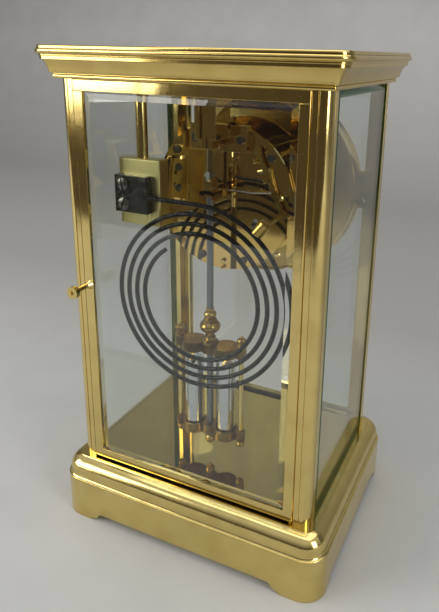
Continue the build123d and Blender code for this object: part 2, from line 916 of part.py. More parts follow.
door_glass_margin = door_rebate - glass_clearance
door_glass_width = 2 * (door_half_width - door_bar + door_glass_margin)
door_glass_height = door_height - 2 * door_bar + 2 * door_glass_margin
for side, glass_name in ((1, "rear_door_glass"), (-1, "front_door_glass")):
    with BuildPart() as door_glass:
        bevelled_glass(
            door_plane(side, door_inner_y + glass_clearance),
            door_glass_width,
            door_glass_height,
            door_glass_edge,
            door_glass_thickness,
            door_rebate,
        )
    save(door_glass, glass_name)

with BuildPart() as hinge_pins:
    for x, y in hinge_places:
        bottom_z = base_height - hinge_pin_in_case + fit
        bar_along_z(x, y, bottom_z, bottom_z + hinge_pin_length, hinge_pin_radius)
        top_z = cornice_bottom + hinge_pin_in_case - fit
        top_length = hinge_pin_length - door_bottom_gap
        bar_along_z(x, y, top_z - top_length, top_z, hinge_pin_radius)
save(hinge_pins, "hinge_pins")


# Door knob: a turned head on a flared neck, a stem through the stile and a latch behind it
def door_knob(side):
    head_end = door_inner_y + door_thickness + knob_reach
    head_start = head_end - knob_head_length
    flare_start = case_half_depth + fit
    flare_end = flare_start + knob_flare_length
    outline = (
        (0, latch_inner_y),
        (knob_stem_radius, latch_inner_y),
        (knob_stem_radius, flare_start),
        (knob_flare_radius, flare_start),
        (knob_neck_radius, flare_end),
        (knob_neck_radius, head_start),
        (knob_head_radius, head_start),
        (knob_head_radius, head_end),
        (knob_hole_radius, head_end),
        (knob_hole_radius, head_end - knob_hole_depth),
        (0, head_end - knob_hole_depth),
    )
    turned([(r, side * y) for r, y in outline], lengthwise(knob_x, knob_height))
    latch_y = sorted((side * latch_inner_y, side * latch_outer_y))
    half = latch_width / 2
    block(
        (knob_x - half, latch_y[0], knob_height - half),
        (knob_x + half, latch_y[1], knob_height + latch_length - latch_gap),
    )


for side, knob_name in ((1, "rear_door_knob"), (-1, "front_door_knob")):
    with BuildPart() as knob:
        door_knob(side)
    save(knob, knob_name)

# Gong rod with its two nuts, the brass block, the iron stud and its screws
gong_block_back = gong_y + gong_block_depth / 2
gong_block_front = gong_y - gong_block_depth / 2
gong_rod_bottom = gong_block_top - gong_rod_depth
gong_rod_top = ceiling_top + gong_rod_above
with BuildPart() as gong_rod:
    bar_along_z(gong_x, gong_y, gong_rod_bottom, gong_rod_top, gong_rod_radius)
save(gong_rod, "gong_rod")

with BuildPart() as gong_rod_nuts:
    nut_bore = gong_rod_radius + fit
    nut_bottom = ceiling_bottom - gong_nut_height
    turned(
        (
            (nut_bore, nut_bottom - gong_collar_height),
            (gong_collar_radius, nut_bottom - gong_collar_height),
            (gong_collar_radius, nut_bottom),
            (gong_nut_radius, nut_bottom),
            (gong_nut_radius, ceiling_bottom),
            (nut_bore, ceiling_bottom),
        ),
        upright(gong_x, gong_y),
    )
    with BuildSketch(Plane.XY.offset(ceiling_top)):
        with Locations((gong_x, gong_y)):
            RegularPolygon(gong_nut_radius, 6)
            Circle(nut_bore, mode=Mode.SUBTRACT)
    extrude(amount=gong_lock_nut_height)
save(gong_rod_nuts, "gong_rod_nuts")

gong_screw_mid = (gong_stud_bottom + gong_stud_top) / 2
gong_screw_heights = [gong_screw_mid + s * gong_screw_spacing / 2 for s in (-1, 1)]
with BuildPart() as gong_block:
    block(
        (gong_block_left, gong_block_front, gong_block_bottom),
        (gong_block_right, gong_block_back, gong_block_top),
    )
    chamfer(gong_block.edges(), length=gong_block_edge)
    bar_along_z(
        gong_x, gong_y, gong_rod_bottom, gong_block_top, gong_rod_radius + fit, Mode.SUBTRACT
    )
    for z in gong_screw_heights:
        bore = gong_screw_shank_radius + fit
        bar_along_y(gong_screw_x, z, gong_block_front, gong_block_back, bore, Mode.SUBTRACT)
save(gong_block, "gong_block")

gong_stud_back = gong_block_back + gong_stud_thickness
gong_lead_z = gong_coil_z + gong_coil_radius
with BuildPart() as gong_stud:
    block(
        (gong_stud_left, gong_block_back, gong_stud_bottom),
        (gong_block_right, gong_stud_back, gong_stud_top),
    )
    nose_plane = Plane(
        origin=(gong_stud_left, gong_plane_y, gong_lead_z), x_dir=(0, 1, 0), z_dir=(-1, 0, 0)
    )
    with BuildSketch(nose_plane):
        Circle(gong_stud_thickness / 2)
    with BuildSketch(nose_plane.offset(gong_stud_nose)):
        Circle(gong_wire_radius)
    loft()
    for z in gong_screw_heights:
        bore = gong_screw_shank_radius + fit
        bar_along_y(gong_screw_x, z, gong_block_back, gong_stud_back, bore, Mode.SUBTRACT)
save(gong_stud, "gong_stud")

with BuildPart() as gong_screws:
    for z in gong_screw_heights:
        rim = gong_screw_head_rise / 2
        with BuildSketch(lengthwise(gong_screw_x, z)):
            with BuildLine():
                crown_y = gong_stud_back + gong_screw_head_rise
                Polyline(
                    (0, crown_y),
                    (0, gong_block_front),
                    (gong_screw_shank_radius, gong_block_front),
                    (gong_screw_shank_radius, gong_stud_back),
                    (gong_screw_head_radius, gong_stud_back),
                    (gong_screw_head_radius, gong_stud_back + rim),
                )
                crown_turn = math.radians(gong_screw_crown_angle)
                crown_mid = (
                    gong_screw_head_radius * math.cos(crown_turn),
                    gong_stud_back + rim + rim * math.sin(crown_turn),
                )
                ThreePointArc(
                    (gong_screw_head_radius, gong_stud_back + rim), crown_mid, (0, crown_y)
                )
            make_face()
        revolve(axis=Axis((gong_screw_x, 0, z), (0, 1, 0)))
        half = gong_screw_slot_width / 2
        reach = gong_screw_head_radius + overrun
        block(
            (gong_screw_x - reach, crown_y - gong_screw_slot_depth, z - half),
            (gong_screw_x + reach, crown_y + overrun, z + half),
            mode=Mode.SUBTRACT,
        )
save(gong_screws, "gong_screws")


# Gong coil: half turns on two centres, each half turn closer in by half the pitch
def coil_point(centre_z, radius, angle):
    turn = math.radians(angle)
    return (gong_coil_x + radius * math.cos(turn), centre_z + radius * math.sin(turn))


coil_centre = gong_coil_z
coil_radius = gong_coil_radius
coil_arcs = []
for half_turn in range(gong_half_turns + 1):
    start = 90 + 180 * half_turn
    span = 180 if half_turn < gong_half_turns else gong_tail_angle
    coil_arcs.append((coil_centre, coil_radius, start, start + span))
    step = gong_coil_pitch / 2
    coil_centre += -step if half_turn % 2 == 0 else step
    coil_radius -= step

coil_plane = facing(gong_plane_y)
lead_start_x = gong_stud_left - gong_stud_nose
with BuildPart() as gong_coil:
    with BuildLine(coil_plane) as coil_path:
        Line((lead_start_x, gong_lead_z), (gong_coil_x, gong_lead_z))
        for centre, radius, start, end in coil_arcs:
            ThreePointArc(
                coil_point(centre, radius, start),
                coil_point(centre, radius, (start + end) / 2),
                coil_point(centre, radius, end),
            )
    wire_plane = Plane(
        origin=(lead_start_x, gong_plane_y, gong_lead_z), x_dir=(0, 1, 0), z_dir=(-1, 0, 0)
    )
    with BuildSketch(wire_plane):
        Circle(gong_wire_radius)
    sweep(path=coil_path.line)
save(gong_coil, "gong_coil")


# The least gap of the wire to itself, measured on points more than half a turn apart
def least_coil_gap(points_per_half_turn=60):
    route = []
    for index, (centre, radius, start, end) in enumerate(coil_arcs):
        for step in range(points_per_half_turn):
            share = step / points_per_half_turn
            point = coil_point(centre, radius, start + share * (end - start))
            route.append((index + share, point))
    nearest = min(
        math.dist(p, q) for a, p in route for b, q in route if b - a > 1
    )
    return nearest - 2 * gong_wire_radius


print("least gap of the gong wire to itself", round(least_coil_gap(), 2))


# Arbor places, as X and Z, worked out from the tooth counts
def centre_distance(teeth_a, teeth_b, module):
    return module * (teeth_a + teeth_b) / 2


# The point at given distances from two others, on the left of the line from a to b for +1
def meeting_point(a, distance_a, b, distance_b, hand):
    gap = math.dist(a, b)
    along = (distance_a**2 - distance_b**2 + gap**2) / (2 * gap)
    aside = math.sqrt(distance_a**2 - along**2)
    ux, uz = (b[0] - a[0]) / gap, (b[1] - a[1]) / gap
    return (a[0] + along * ux - hand * aside * uz, a[1] + along * uz + hand * aside * ux)


def away_from(place, distance, angle):
    turn = math.radians(angle)
    return (place[0] + distance * math.cos(turn), place[1] + distance * math.sin(turn))


centre_place = (0, dial_z)
going_place = (barrel_x, dial_z - barrel_drop)
strike_place = (-barrel_x, dial_z - barrel_drop)
pallet_place = (0, pallet_z)
escape_place = (0, pallet_z - escape_drop)
barrel_distance = centre_distance(barrel_teeth, second_pinion_leaves, barrel_module)
second_distance = centre_distance(second_teeth, centre_pinion_leaves, second_module)
third_distance = centre_distance(centre_teeth, third_pinion_leaves, centre_module)
escape_distance = centre_distance(third_teeth, escape_pinion_leaves, third_module)
second_place = meeting_point(centre_place, second_distance, going_place, barrel_distance, -1)
third_place = meeting_point(centre_place, third_distance, escape_place, escape_distance, -1)
strike_second_place = away_from(strike_place, barrel_distance, strike_second_angle)
pin_wheel_place = away_from(strike_second_place, second_distance, pin_wheel_angle)
fly_distance = centre_distance(pin_wheel_teeth, fly_pinion_leaves, strike_module)
fly_place = away_from(pin_wheel_place, fly_distance, fly_angle)
minute_distance = centre_distance(cannon_leaves, minute_wheel_teeth, cannon_module)
minute_place = (0, dial_z - minute_distance)
hammer_place = (hammer_x, hammer_z)


def bearing(start, end):
    return math.degrees(math.atan2(end[1] - start[1], end[0] - start[0]))


# A toothed outline round a place: one tooth's middle lies at the phase angle
def tooth_points(count, module, shares, phase):
    pitch_radius = module * count / 2
    spacing = 360 / count
    points = []
    for tooth in range(count):
        middle = phase + tooth * spacing
        rising = [(h, -w) for h, w in shares]
        falling = [(h, w) for h, w in reversed(shares)]
        for height, width in rising + falling:
            turn = math.radians(middle + width * spacing / 2)
            radius = pitch_radius + height * module
            points.append((radius * math.cos(turn), radius * math.sin(turn)))
    return points


def gear_plane(place, front_y):
    return Plane(origin=(place[0], front_y, place[1]), x_dir=(1, 0, 0), z_dir=(0, -1, 0))


# Gears lie in planes that face along Y; front_y is the gear's front face
def gear(place, front_y, length, points):
    with BuildSketch(gear_plane(place, front_y)) as outline:
        with BuildLine():
            Polyline(points, close=True)
        make_face()
    extrude(outline.sketch, amount=-length)


def wheel(place, front_y, count, module, phase, length=wheel_thickness):
    gear(place, front_y, length, tooth_points(count, module, wheel_tooth_shares, phase))


def pinion(place, front_y, count, module, phase, length=pinion_length):
    gear(place, front_y, length, tooth_points(count, module, leaf_shares, phase))


# Spokes: the windows between hub and rim are cut away
def cross_out(place, front_y, rim_radius, arms, hub=hub_radius):
    with BuildSketch(gear_plane(place, front_y)) as windows:
        Circle(rim_radius)
        Circle(hub, mode=Mode.SUBTRACT)
        with PolarLocations(rim_radius / 2, arms):
            Rectangle(rim_radius, spoke_width, mode=Mode.SUBTRACT)
    extrude(windows.sketch, amount=-wheel_thickness, mode=Mode.SUBTRACT)


def arbor(place, radius=arbor_radius, pivot=pivot_radius):
    x, z = place
    turned(
        (
            (0, front_face_y + arbor_shake),
            (pivot, front_face_y + arbor_shake),
            (pivot, front_plate_y + arbor_shake),
            (radius, front_plate_y + arbor_shake),
            (radius, back_inner_y - arbor_shake),
            (pivot, back_inner_y - arbor_shake),
            (pivot, back_plate_y - arbor_shake),
            (0, back_plate_y - arbor_shake),
        ),
        lengthwise(x, z),
    )


def pitch_radius(count, module):
    return count * module / 2


# A pinion meets a wheel with a gap on the line of centres, so its leaf stands half a step off
def leaf_phase(own, other, count):
    return bearing(own, other) + 180 / count


pinion_lead = (pinion_length - wheel_thickness) / 2


# Going and striking barrels: a drum with its toothed rim, turning on the winding arbor
def barrel(place, mate):
    rim = pitch_radius(barrel_teeth, barrel_module)
    drum_radius = rim - barrel_wall
    drum_end = barrel_front_y + barrel_length
    bore = winding_arbor_radius + fit
    turned(
        (
            (bore, barrel_front_y),
            (hub_radius + barrel_wall, barrel_front_y),
            (hub_radius + barrel_wall, barrel_front_y + barrel_recess),
            (drum_radius - barrel_wall, barrel_front_y + barrel_recess),
            (drum_radius - barrel_wall, barrel_front_y),
            (drum_radius, barrel_front_y),
            (drum_radius, drum_end),
            (bore, drum_end),
        ),
        lengthwise(*place),
    )
    wheel(place, barrel_rim_y, barrel_teeth, barrel_module, bearing(place, mate), 2 * wheel_thickness)
    bar_along_y(*place, barrel_front_y, barrel_rim_y + 2 * wheel_thickness, bore, Mode.SUBTRACT)


with BuildPart() as going_barrel:
    barrel(going_place, second_place)
save(going_barrel, "going_barrel")

with BuildPart() as strike_barrel:
    barrel(strike_place, strike_second_place)
save(strike_barrel, "strike_barrel")


# Winding arbor: bearings in both plates, a ratchet wheel and a square behind the dial
def winding_arbor(place):
    x, z = place
    square_end = dial_face_y - hand_gap
    ratchet_y = front_face_y - touch_gap
    turned(
        (
            (0, ratchet_y - wheel_thickness),
            (winding_arbor_radius, ratchet_y - wheel_thickness),
            (winding_arbor_radius, ratchet_y),
            (winding_pivot_radius, ratchet_y),
            (winding_pivot_radius, front_plate_y + arbor_shake),
            (winding_arbor_radius, front_plate_y + arbor_shake),
            (winding_arbor_radius, back_inner_y - arbor_shake),
            (winding_pivot_radius, back_inner_y - arbor_shake),
            (winding_pivot_radius, back_plate_y - arbor_shake),
            (0, back_plate_y - arbor_shake),
        ),
        lengthwise(x, z),
    )
    gear(place, ratchet_y - wheel_thickness, wheel_thickness, saw_points(ratchet_teeth))
    half = winding_square / 2
    block((x - half, square_end, z - half), (x + half, ratchet_y - wheel_thickness, z + half))


# Saw-shaped ratchet teeth: each rises slowly and drops steeply
def saw_points(count):
    points = []
    for tooth in range(count):
        low = math.radians(360 * tooth / count)
        high = math.radians(360 * (tooth + 1 - ratchet_drop_share) / count)
        root = ratchet_radius - ratchet_tooth_height
        points.append((root * math.cos(low), root * math.sin(low)))
        points.append((ratchet_radius * math.cos(high), ratchet_radius * math.sin(high)))
    return points


with BuildPart() as going_winding_arbor:
    winding_arbor(going_place)
save(going_winding_arbor, "going_winding_arbor")

with BuildPart() as strike_winding_arbor:
    winding_arbor(strike_place)
save(strike_winding_arbor, "strike_winding_arbor")


# Second wheel of each train: pinion at the barrel's rim, wheel at the front layer
def second_wheel_piece(place, barrel_place, driven_place):
    arbor(place)
    leaf = leaf_phase(place, barrel_place, second_pinion_leaves)
    lead = barrel_rim_y + wheel_thickness - pinion_length / 2
    pinion(place, lead, second_pinion_leaves, barrel_module, leaf)
    wheel(place, front_layer_y, second_teeth, second_module, bearing(place, driven_place))
    cross_out(place, front_layer_y, pitch_radius(second_teeth, second_module) - rim_width, wheel_arms)


with BuildPart() as second_wheel:
    second_wheel_piece(second_place, going_place, centre_place)
save(second_wheel, "second_wheel")

with BuildPart() as strike_second_wheel:
    second_wheel_piece(strike_second_place, strike_place, pin_wheel_place)
save(strike_second_wheel, "strike_second_wheel")

hand_arbor_end = dial_face_y - 2 * (hand_gap + hand_thickness) - hand_gap
with BuildPart() as centre_wheel:
    x, z = centre_place
    arbor(centre_place, centre_arbor_radius)
    bar_along_y(x, z, hand_arbor_end, front_plate_y + arbor_shake, centre_arbor_radius)
    leaf = leaf_phase(centre_place, second_place, centre_pinion_leaves)
    pinion(
        centre_place, front_layer_y - pinion_lead / 2, centre_pinion_leaves, second_module, leaf
    )
    wheel(
        centre_place, centre_layer_y, centre_teeth, centre_module, bearing(centre_place, third_place)
    )
    centre_rim = pitch_radius(centre_teeth, centre_module) - rim_width
    cross_out(centre_place, centre_layer_y, centre_rim, wheel_arms)
save(centre_wheel, "centre_wheel")

with BuildPart() as third_wheel:
    arbor(third_place)
    leaf = leaf_phase(third_place, centre_place, third_pinion_leaves)
    pinion(third_place, centre_layer_y - pinion_lead, third_pinion_leaves, centre_module, leaf)
    wheel(third_place, third_layer_y, third_teeth, third_module, bearing(third_place, escape_place))
    third_rim = pitch_radius(third_teeth, third_module) - rim_width
    cross_out(third_place, third_layer_y, third_rim, wheel_arms)
save(third_wheel, "third_wheel")


# Escape wheel: pointed teeth that lean forward
def escape_points():
    points = []
    root = escape_wheel_radius - escape_tooth_height
    for tooth in range(escape_teeth):
        for radius, share in ((root, 0), (root, 1 - 2 * escape_tooth_share), (escape_wheel_radius, 1)):
            turn = math.radians(360 * (tooth + share - escape_tooth_share) / escape_teeth)
            points.append((radius * math.cos(turn), radius * math.sin(turn)))
    return points


with BuildPart() as escape_wheel:
    arbor(escape_place)
    leaf = leaf_phase(escape_place, third_place, escape_pinion_leaves)
    pinion(escape_place, third_layer_y - pinion_lead, escape_pinion_leaves, third_module, leaf)
    gear(escape_place, escape_layer_y, wheel_thickness, escape_points())
    cross_out(
        escape_place,
        escape_layer_y,
        escape_wheel_radius - escape_tooth_height - rim_width,
        light_wheel_arms,
    )
save(escape_wheel, "escape_wheel")


# Anchor with its arbor, and the crutch that reaches down to the pendulum
def anchor_arm(s):
    tip_radius = escape_wheel_radius + pallet_clearance
    turn = math.radians(pallet_angle)
    tip_x = s * tip_radius * math.sin(turn)
    tip_z = escape_place[1] + tip_radius * math.cos(turn)
    elbow_x = s * (tip_radius * math.sin(turn) + anchor_arm_width / 2)
    elbow_z = pallet_z - anchor_arm_width
    Polyline(
        (0, pallet_z + anchor_arm_width / 2),
        (elbow_x, elbow_z + anchor_arm_width / 2),
        (elbow_x + s * anchor_arm_width / 2, tip_z + anchor_arm_width / 2),
        (tip_x, tip_z),
        (tip_x, tip_z + anchor_arm_width),
        (elbow_x - s * anchor_arm_width, elbow_z - anchor_arm_width / 2),
        (0, pallet_z - anchor_arm_width / 2),
        close=True,
    )


crutch_front_y = back_plate_y + crutch_gap
crutch_back_y = crutch_front_y + crutch_thickness
cock_bridge_back = back_plate_y + cock_foot_depth
cock_bridge_front = cock_bridge_back - cock_bridge_thickness
with BuildPart() as anchor:
    turned(
        (
            (0, front_face_y + arbor_shake),
            (pivot_radius, front_face_y + arbor_shake),
            (pivot_radius, front_plate_y + arbor_shake),
            (centre_arbor_radius, front_plate_y + arbor_shake),
            (centre_arbor_radius, cock_bridge_front - arbor_shake),
            (pivot_radius, cock_bridge_front - arbor_shake),
            (pivot_radius, cock_bridge_back),
            (0, cock_bridge_back),
        ),
        lengthwise(*pallet_place),
    )
    for s in (-1, 1):
        with BuildSketch(facing(escape_layer_y)):
            with BuildLine():
                anchor_arm(s)
            make_face()
        extrude(amount=-wheel_thickness)
    bar_along_y(
        *pallet_place, escape_layer_y, escape_layer_y + wheel_thickness, anchor_hub_radius
    )
    bar_along_y(*pallet_place, crutch_front_y, crutch_back_y, anchor_hub_radius)
    half = crutch_width / 2
    block(
        (-half, crutch_front_y, crutch_bottom),
        (half, crutch_back_y, pallet_z),
    )
    fork_inner = hook_half_width + crutch_fork_gap
    fork_outer = fork_inner + crutch_prong
    fork_top = crutch_bottom + crutch_fork_height
    fork_back = suspension_y + hook_depth / 2 + crutch_prong
    block((-fork_outer, crutch_front_y, crutch_bottom), (fork_outer, crutch_back_y, fork_top))
    for s in (-1, 1):
        prong_x = sorted((s * fork_inner, s * fork_outer))
        block((prong_x[0], crutch_front_y, crutch_bottom), (prong_x[1], fork_back, fork_top))
save(anchor, "anchor")

# Pin wheel, which lifts the hammer, and the fly that it drives
with BuildPart() as pin_wheel:
    arbor(pin_wheel_place)
    leaf = leaf_phase(pin_wheel_place, strike_second_place, centre_pinion_leaves)
    pinion(
        pin_wheel_place, front_layer_y - pinion_lead / 2, centre_pinion_leaves, second_module, leaf
    )
    wheel(
        pin_wheel_place,
        pin_wheel_y,
        pin_wheel_teeth,
        strike_module,
        bearing(pin_wheel_place, fly_place),
    )
    pin_wheel_pitch = pitch_radius(pin_wheel_teeth, strike_module)
    cross_out(pin_wheel_place, pin_wheel_y, pin_wheel_pitch - 2 * pin_inset, light_wheel_arms)
    for index in range(pin_wheel_pins):
        pin_place = away_from(
            pin_wheel_place, pin_wheel_pitch - pin_inset, 360 * index / pin_wheel_pins
        )
        pin_start = pin_wheel_y + wheel_thickness / 2
        pin_end = pin_wheel_y + wheel_thickness + pin_length
        bar_along_y(*pin_place, pin_start, pin_end, pin_radius)
save(pin_wheel, "pin_wheel")

with BuildPart() as strike_fly:
    arbor(fly_place)
    leaf = leaf_phase(fly_place, pin_wheel_place, fly_pinion_leaves)
    pinion(
        fly_place,
        pin_wheel_y - pinion_lead / 2,
        fly_pinion_leaves,
        strike_module,
        leaf,
        wheel_thickness + pinion_lead,
    )
    x, z = fly_place
    block(
        (x - fly_radius, fly_front_y, z - fly_thickness / 2),
        (x + fly_radius, fly_front_y + fly_length, z + fly_thickness / 2),
    )
    bar_along_y(x, z, fly_front_y, fly_front_y + fly_length, 2 * arbor_radius)
save(strike_fly, "strike_fly")

# Hammer: an arbor with a lifting tail, an arm behind the back plate and a head by the coil
hammer_turn = math.radians(hammer_direction)
strike_radius = gong_coil_radius + gong_wire_radius + hammer_gap
hammer_head_place = (
    gong_coil_x + (strike_radius + hammer_head_length / 2) * math.cos(hammer_turn),
    gong_coil_z + (strike_radius + hammer_head_length / 2) * math.sin(hammer_turn),
)
hammer_arm_length = math.dist(hammer_place, hammer_head_place)
hammer_arm_angle = bearing(hammer_place, hammer_head_place)
hammer_arm_y = back_plate_y + plate_screw_head_height + touch_gap
with BuildPart() as hammer:
    arbor(hammer_place, centre_arbor_radius)
    bar_along_y(
        *hammer_place,
        back_inner_y - arbor_shake,
        hammer_arm_y + hammer_arm_thickness,
        centre_arbor_radius,
    )
    bar_along_y(
        *hammer_place, hammer_arm_y, hammer_arm_y + 2 * hammer_arm_thickness, hammer_arm_width
    )
    arm_plane = Plane(
        origin=(hammer_x, hammer_arm_y, hammer_z),
        x_dir=(math.cos(math.radians(hammer_arm_angle)), 0, math.sin(math.radians(hammer_arm_angle))),
        z_dir=(0, -1, 0),
    )
    with BuildSketch(arm_plane):
        with Locations((hammer_arm_length / 2, 0)):
            Rectangle(hammer_arm_length, hammer_arm_width)
        with Locations((hammer_arm_length, 0)):
            Circle(hammer_arm_width)
    extrude(amount=-hammer_arm_thickness)
    bar_along_y(*hammer_head_place, hammer_arm_y, gong_plane_y, hammer_stem_radius)
    head_plane = Plane(
        origin=(hammer_head_place[0], gong_plane_y, hammer_head_place[1]),
        x_dir=(0, 1, 0),
        z_dir=(math.cos(hammer_turn), 0, math.sin(hammer_turn)),
    )
    with BuildSketch(head_plane.offset(-hammer_head_length / 2)):
        Circle(hammer_head_radius)
    extrude(amount=hammer_head_length)
    tail_angle = bearing(hammer_place, pin_wheel_place)
    tail_plane = Plane(
        origin=(hammer_x, pin_wheel_y + 2 * wheel_thickness, hammer_z),
        x_dir=(math.cos(math.radians(tail_angle)), 0, math.sin(math.radians(tail_angle))),
        z_dir=(0, -1, 0),
    )
    with BuildSketch(tail_plane):
        with Locations((hammer_tail_length / 2, 0)):
            Rectangle(hammer_tail_length, hammer_tail_width)
    extrude(amount=-wheel_thickness)
save(hammer, "hammer")

# Plates, with a bearing hole for each arbor
slim_places = (second_place, third_place, escape_place, strike_second_place, pin_wheel_place)
slim_places += (fly_place,)
pillar_places = [away_from(centre_place, pillar_circle, angle) for angle in pillar_angles]


def plate(front_y, holes):
    x, z = centre_place
    bar_along_y(x, z, front_y, front_y + plate_thickness, plate_radius)
    for place, radius in holes:
        bar_along_y(*place, front_y, front_y + plate_thickness, radius, Mode.SUBTRACT)


slim_holes = [(place, pivot_radius + pivot_clearance) for place in slim_places]
winding_holes = [(place, winding_pivot_radius + fit) for place in (going_place, strike_place)]
pillar_holes = [(place, pillar_spigot_radius + fit) for place in pillar_places]
screw_hole = plate_screw_radius + fit
with BuildPart() as front_plate:
    front_holes = slim_holes + winding_holes + pillar_holes
    front_holes += [(centre_place, centre_arbor_radius + fit)]
    front_holes += [(pallet_place, pivot_radius + pivot_clearance)]
    front_holes += [(hammer_place, pivot_radius + pivot_clearance)]
    plate(front_face_y, front_holes)
    stud_front = hour_wheel_y - wheel_thickness
    bar_along_y(*minute_place, stud_front, front_plate_y, centre_arbor_radius)
save(front_plate, "front_plate")

cock_screw_places = [(s * cock_screw_x, cock_screw_z) for s in (-1, 1)]
with BuildPart() as back_plate:
    back_holes = slim_holes + winding_holes
    back_holes += [(centre_place, pivot_radius + pivot_clearance)]
    back_holes += [(pallet_place, 2 * centre_arbor_radius)]
    back_holes += [(hammer_place, centre_arbor_radius + fit)]
    back_holes += [(place, screw_hole) for place in pillar_places + cock_screw_places]
    plate(back_inner_y, back_holes)
save(back_plate, "back_plate")

# Pillars: turned, riveted in the front plate and screwed through the back plate
with BuildPart() as plate_pillars:
    for place in pillar_places:
        screw_room = plate_screw_length - plate_thickness + touch_gap
        turned(
            (
                (0, front_face_y),
                (pillar_spigot_radius, front_face_y),
                (pillar_spigot_radius, front_plate_y),
                (pillar_radius, front_plate_y),
                (pillar_radius, front_plate_y + pillar_collar),
                (pillar_waist_radius, front_plate_y + 2 * pillar_collar),
                (pillar_waist_radius, back_inner_y - 2 * pillar_collar),
                (pillar_radius, back_inner_y - pillar_collar),
                (pillar_radius, back_inner_y),
                (screw_hole, back_inner_y),
                (screw_hole, back_inner_y - screw_room),
                (0, back_inner_y - screw_room),
            ),
            lengthwise(*place),
        )
save(plate_pillars, "plate_pillars")


# Slotted screws of the movement, driven in from behind
def movement_screw(place, seat_y):
    x, z = place
    tip = seat_y - plate_screw_length
    head = seat_y + plate_screw_head_height
    bar_along_y(x, z, tip, seat_y, plate_screw_radius)
    bar_along_y(x, z, seat_y, head, plate_screw_head_radius)
    half = screw_slot_width / 2
    reach = plate_screw_head_radius + overrun
    block(
        (x - reach, head - screw_slot_depth, z - half),
        (x + reach, head + overrun, z + half),
        mode=Mode.SUBTRACT,
    )


with BuildPart() as movement_screws:
    for place in pillar_places:
        movement_screw(place, back_plate_y)
    for place in cock_screw_places:
        movement_screw(place, cock_bridge_back)
save(movement_screws, "movement_screws")

# Motion work in front of the front plate
with BuildPart() as cannon_pinion:
    pipe_radius = centre_arbor_radius + pipe_wall
    pipe_front = dial_face_y - 2 * hand_gap - 2 * hand_thickness
    x, z = centre_place
    bar_along_y(x, z, pipe_front, cannon_y + pinion_length, pipe_radius)
    leaf = bearing(centre_place, minute_place)
    leaf += 180 / cannon_leaves
    pinion(centre_place, cannon_y, cannon_leaves, cannon_module, leaf)
    bar_along_y(
        x, z, pipe_front, cannon_y + pinion_length, centre_arbor_radius + fit, Mode.SUBTRACT
    )
save(cannon_pinion, "cannon_pinion")

with BuildPart() as minute_wheel:
    toward = bearing(minute_place, centre_place)
    wheel(minute_place, minute_wheel_y, minute_wheel_teeth, cannon_module, toward)
    leaf = leaf_phase(minute_place, centre_place, minute_pinion_leaves)
    pinion_front = hour_wheel_y - touch_gap
    pinion(
        minute_place,
        pinion_front,
        minute_pinion_leaves,
        hour_module,
        leaf,
        minute_wheel_y - pinion_front,
    )
    wheel_back = minute_wheel_y + wheel_thickness
    bore = centre_arbor_radius + fit
    bar_along_y(*minute_place, pinion_front, wheel_back, bore, Mode.SUBTRACT)
save(minute_wheel, "minute_wheel")

hour_pipe_bore = pipe_radius + fit
hour_pipe_radius = hour_pipe_bore + pipe_wall
hour_pipe_front = dial_face_y - hand_gap - hand_thickness
with BuildPart() as hour_wheel:
    x, z = centre_place
    hour_wheel_back = hour_wheel_y + wheel_thickness
    bar_along_y(x, z, hour_pipe_front, hour_wheel_back, hour_pipe_radius)
    toward = bearing(centre_place, minute_place)
    wheel(centre_place, hour_wheel_y, hour_wheel_teeth, hour_module, toward)
    bar_along_y(x, z, hour_pipe_front, hour_wheel_back, hour_pipe_bore, Mode.SUBTRACT)
save(hour_wheel, "hour_wheel")


# Hands: a tapering bar with a ring near its tip
def hand(length, clock_angle, back_y, bore):
    turn = math.radians(90 - clock_angle)
    hand_plane = Plane(
        origin=(0, back_y, dial_z),
        x_dir=(math.cos(turn), 0, math.sin(turn)),
        z_dir=(0, -1, 0),
    )
    ring_x = length * hand_ring_share
    with BuildSketch(hand_plane) as outline:
        with BuildLine():
            Polyline(
                (0, -hand_root_width / 2),
                (length, -hand_tip_width / 2),
                (length, hand_tip_width / 2),
                (0, hand_root_width / 2),
                close=True,
            )
        make_face()
        Circle(hand_hub_radius)
        with Locations((ring_x, 0)):
            Circle(hand_ring_radius)
            Circle(hand_ring_hole_radius, mode=Mode.SUBTRACT)
        Circle(bore, mode=Mode.SUBTRACT)
    extrude(outline.sketch, amount=hand_thickness)


minute_angle = 6 * rest_minutes
hour_angle = 30 * rest_hours + rest_minutes / 2
with BuildPart() as minute_hand:
    hand(minute_hand_length, minute_angle, pipe_front + hand_thickness, pipe_radius + fit)
save(minute_hand, "minute_hand")

with BuildPart() as hour_hand:
    hand(hour_hand_length, hour_angle, hour_pipe_front + hand_thickness, hour_pipe_radius + fit)
save(hour_hand, "hour_hand")

# Dial plate with its feet, and the bezel that holds it
dial_back_y = dial_face_y + dial_thickness
dial_radius = bezel_radius - bezel_seat_wall - touch_gap
with BuildPart() as dial_plate:
    x, z = centre_place
    bar_along_y(x, z, dial_face_y, dial_back_y, dial_radius)
    bar_along_y(x, z, dial_face_y, dial_back_y, hour_pipe_radius + touch_gap, Mode.SUBTRACT)
    for place in (going_place, strike_place):
        bar_along_y(*place, dial_face_y, dial_back_y, winding_hole_radius, Mode.SUBTRACT)
    for angle in dial_foot_angles:
        foot_place = away_from(centre_place, dial_foot_circle, angle)
        bar_along_y(*foot_place, dial_face_y + dial_thickness / 2, front_face_y, dial_foot_radius)
save(dial_plate, "dial_plate")

